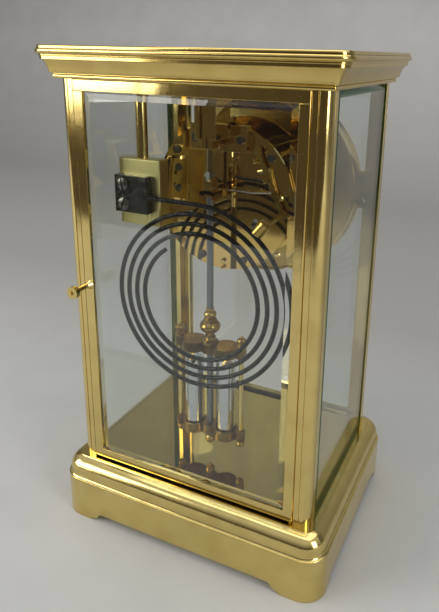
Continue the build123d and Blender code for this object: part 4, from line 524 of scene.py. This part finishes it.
# Side glasses: the bevels and rims are ground, the two faces are clear
square_on = 0.9999
for side in ("left_side_glass", "right_side_glass"):
    refinished(eased(side, 0.08), green_edge, lambda face: abs(face.normal.x) < square_on)

# The gong's two screws: domed heads with a slot across, left turned as the fitter left them.
# Each has its height and the turn of its slot in radians.
GONG_SCREWS = ((220.15, 0.32), (232.35, -0.18))
head_radius, head_rise, screw_shank, screw_depth, slot_width = 3.98, 1.78, 1.98, 4.9, 0.95
slot_floor = 0.45 * head_rise


# A head in two halves with the slot between them, on a disc that is the slot's floor. The dome
# starts at half the head's rise.
def slotted_head(shape, place, turn):
    dome_steps, round_steps, floor_radius = 12, 64, head_radius * 0.985
    bends = [i * math.pi / 2 / dome_steps for i in range(dome_steps)]
    dome = [(head_radius * math.cos(t), head_rise * (0.5 + 0.5 * math.sin(t))) for t in bends]
    shank = [(0, -screw_depth), (screw_shank, -screw_depth), (screw_shank, 0)]
    across = Vector((math.cos(turn), 0, math.sin(turn)))
    for side in (1, -1):
        part = bmesh.new()
        outline = [*shank, (head_radius, 0), *dome, (0, head_rise)]
        turned(part, outline, place, REAR, round_steps)
        cut = bmesh.ops.bisect_plane(
            part, geom=part.verts[:] + part.edges[:] + part.faces[:], dist=1e-7,
            plane_co=(Vector(place) + across * side * slot_width / 2) * MM,
            plane_no=across * side, clear_inner=True,
        )
        edges = [e for e in cut["geom_cut"] if isinstance(e, bmesh.types.BMEdge)]
        bmesh.ops.holes_fill(part, edges=edges)
        half = bpy.data.meshes.new("half head")
        part.to_mesh(half)
        part.free()
        shape.from_mesh(half)
        bpy.data.meshes.remove(half)
    disc = [*shank, (floor_radius, 0), (floor_radius, slot_floor), (0, slot_floor)]
    turned(shape, disc, place, REAR, round_steps)


def gong_screw_pair(shape):
    for z, turn in GONG_SCREWS:
        slotted_head(shape, (gong_screw_x, gong_screw_seat_y, z), turn)


# The slot's walls are the only upright faces with many corners, and its floor lies at its depth
def in_slot(face):
    many, upright, near = 12, 0.05, 1e-5
    wall = abs(face.normal.y) < upright and len(face.vertices) > many
    return wall or abs(face.center.y - (gong_screw_seat_y + slot_floor) * MM) < near


screws_made = piece_from("gong_screw_pair", gong_screw_pair, screw_steel)
# The slots' walls and floor get the near-black painted shade
refinished(screws_made, slot_shade, in_slot)
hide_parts("gong_screws")


# The pendulum's nuts, turned to shape: the vase over the cap, acorns and feet on the tie rods,
# and the drop under the tray
def pendulum_nuts(shape):
    vase = [
        (0, 0), (5.4, 0), (5.4, 0.9), (3.3, 1.9), *bead(3.6, 3.7, 1.2, -0.6, 0.6),
        *bead(11.2, 6.7, 4.6, -0.9, 0.8), (4.3, 15.4), (4.3, 16.0),
        *bead(19.2, 4.0, 3.0, -0.75, 0.75), (2.5, 22.2), (2.5, 23.5), (0, 23.5),
    ]
    acorn = [
        (0, 0), (3.0, 0), (3.0, 1.0), (2.2, 1.5), *bead(2.2, 2.6, 0.6, -0.7, 0.7), (1.9, 2.9),
        *bead(5.3, 3.0, 2.6, -0.8, 0.9), (0.9, 7.9), (0.9, 8.3), (0.5, 8.9), (0, 9.0),
    ]
    foot = [
        (0, 0), (2.7, 0), (2.7, 0.8), *bead(2.9, 2.6, 2.2, -0.75, 0.8), (0.9, 5.0), (0.4, 5.5),
        (0, 5.5),
    ]
    drop = [
        (0, 0), (3.6, 0), (3.6, 1.4), (2.6, 1.9), *bead(5.2, 3.3, 3.4, -0.85, 0.9),
        (0.9, 8.9), (0.4, 9.8), (0, 10.0),
    ]
    turned(shape, vase, (0, pendulum_y, cap_top), UP, steps=64)
    turned(shape, drop, (0, pendulum_y, tray_bottom), DOWN, steps=48)
    for x in (-tie_rod_x, tie_rod_x):
        turned(shape, acorn, (x, pendulum_y, cap_top), UP, steps=48)
        turned(shape, foot, (x, pendulum_y, tray_bottom), DOWN, steps=48)


nuts = piece_from(
    "pendulum_nuts", pendulum_nuts, aged_brass,
    body_of_node["pendulum_finials"], smooth=40,
)
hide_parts("pendulum_finials")

# The dial is white enamel in front, on a brass back
refinished(eased("dial_plate", 0.1), wheel_brass, lambda face: face.normal.y > 0.5)


# ---------------------------------------------------------------- geometry trees
# A tree with an input for each size, of the form (name, kind of socket, value)
def tree_of(name, sizes):
    tree = bpy.data.node_groups.new(name, "GeometryNodeTree")
    tree.interface.new_socket("Geometry", in_out="OUTPUT", socket_type="NodeSocketGeometry")
    for size, kind, _ in sizes:
        tree.interface.new_socket(size, in_out="INPUT", socket_type=kind)
    return tree, add(tree, "NodeGroupInput").outputs


def grown(name, tree, sizes, smooth=32):
    piece = bpy.data.objects.new(name, bpy.data.meshes.new(name))
    bpy.context.scene.collection.objects.link(piece)
    modifier = piece.modifiers.new("shape", "NODES")
    modifier.node_group = tree
    found = {s.name: s.identifier for s in tree.interface.items_tree if s.in_out == "INPUT"}
    for size, _, value in sizes:
        modifier[found[size]] = value
    plain_mesh(piece)
    piece.data.shade_smooth()
    piece.data.set_sharp_from_angle(angle=math.radians(smooth))
    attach(piece, "case")
    return piece


# The gong: one wire wound on two centres, each half turn closer in by half the pitch. Each line
# of the table is a sum: its name, what is done, and the one or two values that it takes.
def gong_tree(sizes):
    tree, size = tree_of("two-centre spiral", sizes)
    known = {name: size[name] for name, _, _ in sizes}
    known["index"] = add(tree, "GeometryNodeInputIndex").outputs[0]
    for name, operation, first, second in (
        ("last point", "SUBTRACT", "Points", 1.0),
        ("share", "DIVIDE", "index", "last point"),
        ("outer half turn", "MULTIPLY", "Radius", math.pi),
        ("lead turns", "DIVIDE", "Lead", "outer half turn"),
        ("all turns", "ADD", "Half turns", "lead turns"),
        ("turns so far", "MULTIPLY", "share", "all turns"),
        ("turn", "SUBTRACT", "turns so far", "lead turns"),
        ("wound", "MAXIMUM", "turn", 0.0),
        ("not wound", "MINIMUM", "turn", 0.0),
        ("straight", "MULTIPLY", "not wound", "outer half turn"),
        ("half", "FLOOR", "wound", 0.0),
        ("step", "MULTIPLY", "Pitch", 0.5),
        ("shrink", "MULTIPLY", "half", "step"),
        ("radius", "SUBTRACT", "Radius", "shrink"),
        ("odd", "FLOORED_MODULO", "half", 2.0),
        ("quarter on", "ADD", "wound", 0.5),
        ("angle", "MULTIPLY", "quarter on", math.pi),
        ("cosine", "COSINE", "angle", 0.0),
        ("sine", "SINE", "angle", 0.0),
        ("out", "MULTIPLY", "radius", "cosine"),
        ("up", "MULTIPLY", "radius", "sine"),
        ("start x", "SUBTRACT", "Centre X", "straight"),
        ("x", "ADD", "start x", "out"),
        ("drop", "MULTIPLY", "odd", "step"),
        ("centre z", "SUBTRACT", "Centre Z", "drop"),
        ("z", "ADD", "centre z", "up"),
    ):
        inputs = {0: known.get(first, first), 1: known.get(second, second)}
        known[name] = add(tree, "ShaderNodeMath", inputs, operation=operation).outputs[0]
    line = add(tree, "GeometryNodeCurvePrimitiveLine")
    many = add(tree, "GeometryNodeResampleCurve", {"Curve": line, "Count": size["Points"]})
    spot = add(tree, "ShaderNodeCombineXYZ", {0: known["x"], 1: size["Centre Y"], 2: known["z"]})
    moved = add(tree, "GeometryNodeSetPosition", {"Geometry": many, "Position": spot})
    ring = add(tree, "GeometryNodeCurvePrimitiveCircle", {
        "Resolution": size["Wire sides"], "Radius": size["Wire radius"],
    })
    wire = add(tree, "GeometryNodeCurveToMesh", {
        "Curve": moved, "Profile Curve": ring, "Fill Caps": True,
    })
    real = add(tree, "GeometryNodeRealizeInstances", {0: wire})
    done = add(tree, "GeometryNodeSetMaterial", {"Geometry": real, "Material": gong_steel})
    add(tree, "NodeGroupOutput", {0: done})
    return tree


gong_sizes = (
    ("Points", "NodeSocketInt", 520),
    ("Radius", "NodeSocketFloat", 57.3 * MM),
    ("Pitch", "NodeSocketFloat", 5.85 * MM),
    ("Half turns", "NodeSocketFloat", 7 + 145 / 180),
    ("Lead", "NodeSocketFloat", 28.2 * MM),
    ("Centre X", "NodeSocketFloat", -0.7 * MM),
    ("Centre Y", "NodeSocketFloat", 47.5 * MM),
    ("Centre Z", "NodeSocketFloat", 167.5 * MM),
    ("Wire radius", "NodeSocketFloat", 1.4 * MM),
    ("Wire sides", "NodeSocketInt", 14),
)
gong_wire = grown("gong_wire", gong_tree(gong_sizes), gong_sizes, smooth=60)
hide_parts("gong_coil")


# ---------------------------------------------------------------- the dial's markings
# The black enamel stands this proud of the white, and starts this far inside it
ink, ink_root = 0.1, 0.01
minute_radius, minute_length = 53.4, 3.0


# A ring of bars on the dial, each pointing to the middle
def track_tree(sizes):
    tree, size = tree_of("dial bars", sizes)
    ring = add(tree, "GeometryNodeMeshCircle", {
        "Vertices": size["Count"], "Radius": size["Radius"],
    })
    index = add(tree, "GeometryNodeInputIndex")
    turned_by = add(tree, "ShaderNodeMath", {0: index, 1: 2 * math.pi}, operation="MULTIPLY")
    angle = add(tree, "ShaderNodeMath", {0: turned_by, 1: size["Count"]}, operation="DIVIDE")
    facing = add(tree, "ShaderNodeCombineXYZ", {2: angle})
    extent = add(tree, "ShaderNodeCombineXYZ", {
        0: size["Length"], 1: size["Width"], 2: size["Thickness"],
    })
    stroke = add(tree, "GeometryNodeMeshCube", {"Size": extent})
    spread = add(tree, "GeometryNodeInstanceOnPoints", {
        "Points": ring, "Instance": stroke, "Rotation": facing,
    })
    spot = add(tree, "ShaderNodeCombineXYZ", {
        0: size["Centre X"], 1: size["Centre Y"], 2: size["Centre Z"],
    })
    upright = add(tree, "GeometryNodeTransform", {
        "Geometry": spread, "Translation": spot, "Rotation": (math.pi / 2, 0, 0),
    })
    real = add(tree, "GeometryNodeRealizeInstances", {0: upright})
    done = add(tree, "GeometryNodeSetMaterial", {"Geometry": real, "Material": dial_black})
    add(tree, "NodeGroupOutput", {0: done})
    return tree


def dial_bars(name, count, width):
    ink_middle = 0.04
    sizes = (
        ("Count", "NodeSocketInt", count),
        ("Radius", "NodeSocketFloat", minute_radius * MM),
        ("Length", "NodeSocketFloat", minute_length * MM),
        ("Width", "NodeSocketFloat", width * MM),
        ("Thickness", "NodeSocketFloat", ink * MM),
        ("Centre X", "NodeSocketFloat", 0.0),
        ("Centre Y", "NodeSocketFloat", (dial_face_y - ink_middle) * MM),
        ("Centre Z", "NodeSocketFloat", dial_z * MM),
    )
    grown(name, track_tree(sizes), sizes)


dial_bars("minute_bars", 60, width=0.35)
dial_bars("five_minute_bars", 12, width=1.3)


# Lines of the minute track and round the dial's middle: (radius, width)
def dial_circles(shape):
    for radius, width in ((51.75, 0.25), (54.85, 0.25), (34.0, 0.2)):
        outer = radius + width
        points = [(radius, 0), (radius, ink), (outer, ink), (outer, 0), (radius, 0)]
        turned(shape, points, (0, dial_face_y + ink_root, dial_z), FRONT, steps=180)
        close_ring(shape)


piece_from("dial_circles", dial_circles, dial_black)

# Numerals: thick and thin strokes with serifs, feet towards the middle. Each letter has its
# width, and its strokes as (place at the top, place at the foot, thickness).
NUMERALS = ("XII", "I", "II", "III", "IIII", "V", "VI", "VII", "VIII", "IX", "X", "XI")
STROKES = {
    "I": (2.9, ((0, 0, 1.35),)),
    "V": (5.6, ((-1.7, 0, 1.35), (1.7, 0, 0.45))),
    "X": (5.8, ((-1.8, 1.8, 1.35), (1.8, -1.8, 0.45))),
}
numeral_height, numeral_radius, serif, serif_reach = 12.0, 42.6, 0.45, 0.7


# Four corners (across, up from the dial's middle) of a stroke, turned to its hour
def stroke(shape, corners, turn):
    layers = []
    for depth in (0.0, -ink):
        ring = []
        for across, up in corners:
            x = across * math.cos(turn) + up * math.sin(turn)
            z = -across * math.sin(turn) + up * math.cos(turn)
            spot = Vector((x, dial_face_y + ink_root + depth, z + dial_z))
            ring.append(shape.verts.new(spot * MM))
        layers.append(ring)
    under, top = layers
    shape.faces.new(under)
    shape.faces.new(top[::-1])
    for i in range(len(corners)):
        j = (i + 1) % len(corners)
        shape.faces.new((under[j], under[i], top[i], top[j]))


def numerals(shape):
    foot = numeral_radius - numeral_height / 2
    top = numeral_radius + numeral_height / 2
    for hour, word in enumerate(NUMERALS):
        turn = math.radians(30 * hour)
        across = -sum(STROKES[letter][0] for letter in word) / 2
        for letter in word:
            wide, strokes = STROKES[letter]
            middle = across + wide / 2
            for at_top, at_foot, thick in strokes:
                half = thick / 2
                stroke(shape, (
                    (middle + at_foot - half, foot), (middle + at_foot + half, foot),
                    (middle + at_top + half, top), (middle + at_top - half, top),
                ), turn)
                for end, level in ((at_foot, foot), (at_top, top - serif)):
                    if letter == "V" and level == foot:
                        continue
                    reach = half + serif_reach
                    left, right = middle + end - reach, middle + end + reach
                    stroke(shape, (
                        (left, level), (right, level), (right, level + serif),
                        (left, level + serif),
                    ), turn)
            across += wide
    bmesh.ops.recalc_face_normals(shape, faces=shape.faces)


piece_from("dial_numerals", numerals, dial_black)


# Brass rims of the winding holes
def winding_rims(shape):
    hole, seat = winding_hole_radius, 0.02
    points = [
        (hole - 0.1, 0), (hole - 0.1, 0.5), (hole + 0.25, 0.75), (hole + 0.7, 0.5),
        (hole + 0.9, 0), (hole - 0.1, 0),
    ]
    for x, z in winding_holes:
        turned(shape, points, (x, dial_face_y + seat, z), FRONT, steps=48)
    close_ring(shape)


piece_from("winding_hole_rims", winding_rims, case_brass)


# Screws of the side brackets: low heads on the rear face, shanks through the pierced holes
def bracket_screws(shape):
    rear = max(v.co.y for v in nodes["dial_brackets"].data.vertices) / MM
    points = low_screw(shank=1.6, depth=2.0, head=2.9, top=2.5)
    for side in (-1, 1):
        for up in (-bracket_screw_rise, bracket_screw_rise):
            place = (side * bracket_screw_x, rear, dial_z + up)
            turned(shape, points, place, REAR, steps=32)


piece_from("bracket_screws", bracket_screws, screw_steel)

# ---------------------------------------------------------------- small work on the back plate
# Pins and posts: (x, z, radius, height)
PINS = (
    (-10.9, 258.2, 0.7, 2.2), (-11.1, 248.2, 0.7, 2.2), (-22.6, 246.6, 1.5, 2.6),
    (-0.7, 181.0, 1.5, 2.2), (-0.7, 176.8, 1.0, 3.0), (-38.3, 191.2, 1.6, 2.2),
    (-28.8, 235.2, 1.4, 2.4), (-39.0, 226.4, 2.0, 2.6),
)
locking_screw_x, locking_screw_z = -22.1, 206.8
cover_screw_x, cover_screw_heights = 30.8, (225.1, 238.4)
plate_seat = 0.02


def pins(shape):
    for x, z, radius, height in PINS:
        points = [
            (radius * 0.6, 0), (radius * 0.6, height * 0.3), (radius, height * 0.35),
            (radius, height * 0.75), (radius * 0.75, height * 0.95), (0, height),
        ]
        turned(shape, points, (x, back_plate_y + plate_seat, z), REAR, steps=32)


def locking_screw(shape):
    points = [(1.1, 0), (2.2, 0), (2.2, 0.8), (1.8, 1.2), (0.8, 1.3), (0, 1.3)]
    place = (locking_screw_x, back_plate_y + plate_seat, locking_screw_z)
    turned(shape, points, place, REAR, steps=32)


# They hold the cover over the going train's bearings, and stand on its face
def bearing_cover_screws(shape):
    cover_face = 1.16
    points = low_screw(shank=1.2, depth=0.4, head=2.4, top=2.1)
    for z in cover_screw_heights:
        turned(shape, points, (cover_screw_x, back_plate_y + cover_face, z), REAR, steps=40)


def detent_rod(shape):
    y, radius = 16.4, 0.5
    bar(shape, ((0.9, y, 227.6), (-10, y, 227.9), (-22, y, 227.7), (-33.4, y, 228.9)), radius)


# Flat work: the cover over the going train's bearings, the lever that releases the strike, the
# bent strip beside the hammer's arm, a dark blade at the top and a bar beside the crutch. Each
# has how far off the plate it lies, its thickness, how wide its edges are eased, and its outline
# in (x, z).
FLAT_WORK = {
    "bearing_cover": (0.05, 1.1, 0.3, (
        (24.2, 217.6), (24.2, 246.4), (28.6, 245.6), (37.9, 244.6), (41.4, 238.4), (43.6, 230.4),
        (44.3, 222.6), (43.8, 216.4), (30.4, 216.0),
    )),
    "release_lever": (0.5, 1.1, 0.15, (
        (-7.6, 236.6), (-9.2, 235.0), (-20.0, 234.6), (-27.0, 234.0), (-33.0, 229.3),
        (-34.2, 230.4), (-28.4, 235.7), (-20.0, 236.2),
    )),
    "stop_strip": (0.4, 1.2, 0.15, (
        (-23.4, 239.8), (-23.6, 241.2), (-31.0, 243.2), (-32.4, 242.6), (-36.6, 228.6),
        (-34.8, 228.1), (-31.0, 240.9),
    )),
    "top_blade": (0.4, 0.8, 0.15, (
        (-5.0, 265.6), (-6.0, 263.6), (-16.0, 263.2), (-19.5, 262.0), (-17.0, 265.2),
    )),
    "side_bar": (0.1, 0.8, 0.25, (
        (-6.2, 262.0), (-8.8, 262.0), (-9.2, 217.0), (-6.8, 217.0),
    )),
}


def flat_work(name):
    off, thickness, ease, outline = FLAT_WORK[name]
    return lambda shape: flat_piece(shape, outline, back_plate_y + off, thickness, ease)


for name, build, finish, slot in (
    ("back_plate_pins", pins, case_brass, "movement_brass"),
    ("locking_screw", locking_screw, screw_steel, "steel"),
    ("bearing_cover", flat_work("bearing_cover"), plate_brass, "movement_brass"),
    ("bearing_cover_screws", bearing_cover_screws, screw_steel, "steel"),
    ("release_lever", flat_work("release_lever"), stud_iron, "black_steel"),
    ("detent_rod", detent_rod, ground_steel, "steel"),
    ("stop_strip", flat_work("stop_strip"), case_brass, "movement_brass"),
    ("top_blade", flat_work("top_blade"), stud_iron, "black_steel"),
    ("side_bar", flat_work("side_bar"), plate_brass, "movement_brass"),
):
    piece_from(name, build, finish)


# ---------------------------------------------------------------- floor, light, camera
# A sheet of studio paper in metres: a floor that bends up into a wall beyond the clock
def studio_floor():
    near_edge, reach, rise, wall = 0.64, 0.9, 0.45, 3.0
    bend_steps, paper_mm = 12, 60
    # Where the painted shade starts and where it is full along Y, and the height where it fades
    # out, in metres
    shade_start_y, shade_full_y, shade_top = 0.1, -0.32, 0.36
    profile = [(out, 0.0) for out in (0.0, 0.25, 0.6, reach)]
    for step in range(1, bend_steps + 1):
        turn = math.pi / 2 * step / bend_steps
        profile.append((reach + rise * math.sin(turn), rise * (1 - math.cos(turn))))
    profile.append((reach + rise, wall))
    mesh = bpy.data.meshes.new("studio floor")
    shape = bmesh.new()
    rows = []
    for across in (-6.0, -3.0, -1.2, -0.5, 0.0, 0.5, 1.2, 3.0, 6.0):
        row = [shape.verts.new((across, near_edge, 0.0))]
        row += [shape.verts.new((across, -out, high)) for out, high in profile]
        rows.append(row)
    for near, far in zip(rows, rows[1:]):
        for step in range(len(near) - 1):
            shape.faces.new((near[step], near[step + 1], far[step + 1], far[step]))
    bmesh.ops.recalc_face_normals(shape, faces=shape.faces)
    if sum(face.normal.z for face in shape.faces) < 0:
        bmesh.ops.reverse_faces(shape, faces=shape.faces)
    shape.to_mesh(mesh)
    shape.free()
    mesh.shade_smooth()
    # Pale matt paper, hardly clouded, with painted shade that softly deepens its tone on the
    # floor beyond the clock
    finish, tree, place, shader = finish_of("studio paper")
    weave = add(tree, "ShaderNodeTexNoise", {
        "Vector": place, "Scale": per_mm(paper_mm), "Detail": 3.0,
    })
    share = add(tree, "ShaderNodeMapRange", {"Value": weave, **span(0.3, 0.7)})
    paper = add(tree, "ShaderNodeMix", {
        SHARE: share, FROM_COLOUR: tone("#B9B9B7"), TO_COLOUR: tone("#B2B2B0"),
    }, data_type="RGBA")
    # Painted shade: the paper turns to the grey below beyond the clock, fading out towards the
    # camera and up the bend
    parts = add(tree, "ShaderNodeSeparateXYZ", {0: place})
    beyond = add(tree, "ShaderNodeMapRange", {
        "Value": parts.outputs["Y"], **span(shade_full_y, shade_start_y, 1.0, 0.0),
    })
    below = add(tree, "ShaderNodeMapRange", {
        "Value": parts.outputs["Z"], **span(0.0, shade_top, 1.0, 0.0),
    })
    deep = add(tree, "ShaderNodeMath", {0: beyond, 1: below}, operation="MULTIPLY")
    shade = add(tree, "ShaderNodeMix", {
        SHARE: deep, FROM_COLOUR: paper.outputs[MIXED], TO_COLOUR: tone("#95938F"),
    }, data_type="RGBA")
    fill(shader, {
        "Roughness": 0.9, "Specular IOR Level": 0.1, "Base Color": shade.outputs[MIXED],
    })
    mesh.materials.append(finish)
    floor = bpy.data.objects.new("studio_floor", mesh)
    bpy.context.scene.collection.objects.link(floor)


def lamp(name, place, aim, size, power, colour):
    data = bpy.data.lights.new(name, "AREA")
    data.shape = "RECTANGLE"
    data.size, data.size_y = size
    data.energy = power
    data.color = tone(colour)[:3]
    light = bpy.data.objects.new(name, data)
    bpy.context.scene.collection.objects.link(light)
    light.location = place
    light.rotation_mode = "QUATERNION"
    light.rotation_quaternion = (Vector(aim) - Vector(place)).to_track_quat("-Z", "Y")


# The room: pale above and ahead, darker behind the camera, so that the brass has deep tones.
# Where the eye meets the room directly or through glass, it is an even pale grey.
def room():
    world = bpy.data.worlds.new("studio air")
    world.use_nodes = True
    bpy.context.scene.world = world
    tree = world.node_tree
    place = add(tree, "ShaderNodeTexCoord")
    parts = add(tree, "ShaderNodeSeparateXYZ", {0: place.outputs["Generated"]})
    above = add(tree, "ShaderNodeMapRange", {"Value": parts.outputs["Z"], **span(0.1, 0.7)})
    ahead = add(tree, "ShaderNodeMapRange", {
        "Value": parts.outputs["Y"], **span(-0.5, 0.6, 1.0, 0.0),
    })
    around = add(tree, "ShaderNodeMix", {
        SHARE: ahead, FROM_COLOUR: tone("#584F43"), TO_COLOUR: tone("#A9A9A8"),
    }, data_type="RGBA")
    sky = add(tree, "ShaderNodeMix", {
        SHARE: above, FROM_COLOUR: around.outputs[MIXED], TO_COLOUR: tone("#DCDDE0"),
    }, data_type="RGBA")
    ray = add(tree, "ShaderNodeLightPath")
    seen = add(tree, "ShaderNodeMath", {
        0: ray.outputs["Is Camera Ray"], 1: ray.outputs["Is Transmission Ray"],
    }, operation="MAXIMUM")
    never_mirrored = add(tree, "ShaderNodeMath", {
        0: ray.outputs["Glossy Depth"], 1: 0.5,
    }, operation="LESS_THAN")
    pale = add(tree, "ShaderNodeMath", {0: seen, 1: never_mirrored}, operation="MULTIPLY")
    shown = add(tree, "ShaderNodeMix", {
        SHARE: pale, FROM_COLOUR: sky.outputs[MIXED], TO_COLOUR: tone("#B0B0AE"),
    }, data_type="RGBA")
    fill(tree.nodes["Background"], {"Color": shown.outputs[MIXED], "Strength": 0.8})


# The photograph's camera: its place and axes in the model's frame, in metres, and its lens, whose
# focal length and axis are in pixels of the photograph
def photo_camera():
    data = bpy.data.cameras.new("photo camera")
    camera = bpy.data.objects.new("photo_camera", data)
    bpy.context.scene.collection.objects.link(camera)
    right = Vector((-0.909373, -0.415422, 0.02158))
    up = Vector((0.137786, -0.251857, 0.957906))
    ahead = Vector((0.3925, -0.874067, -0.286271))
    matrix = Matrix((right, up, -ahead)).transposed().to_4x4()
    matrix.translation = Vector((-0.168308, 0.336006, 0.308056))
    camera.matrix_world = matrix
    image_width, image_height = 439, 612
    focal_length, axis_x, axis_y = 600.17, 257.98, 232.17
    data.sensor_width = 36.0
    data.lens = focal_length * data.sensor_width / image_height
    data.shift_x = (image_width / 2 - axis_x) / image_height
    data.shift_y = (axis_y - image_height / 2) / image_height
    data.clip_start, data.clip_end = 0.01, 20.0
    bpy.context.scene.camera = camera


studio_floor()
room()
lamp("left softbox", (1.17, 0.93, 0.69), (0, 0, 0.35), size=(1.0, 1.1), power=17.0,
     colour="#FFFCF4")
lamp("right softbox", (-1.2, 0.5, 0.6), (0, 0, 0.2), size=(0.4, 1.0), power=7.0,
     colour="#FFFDF8")
lamp("ceiling", (0.0, -0.2, 1.6), (0, 0, 0.1), size=(1.8, 1.5), power=13.0, colour="#FFFFFF")
photo_camera()
bpy.context.scene.view_settings.view_transform = "Standard"
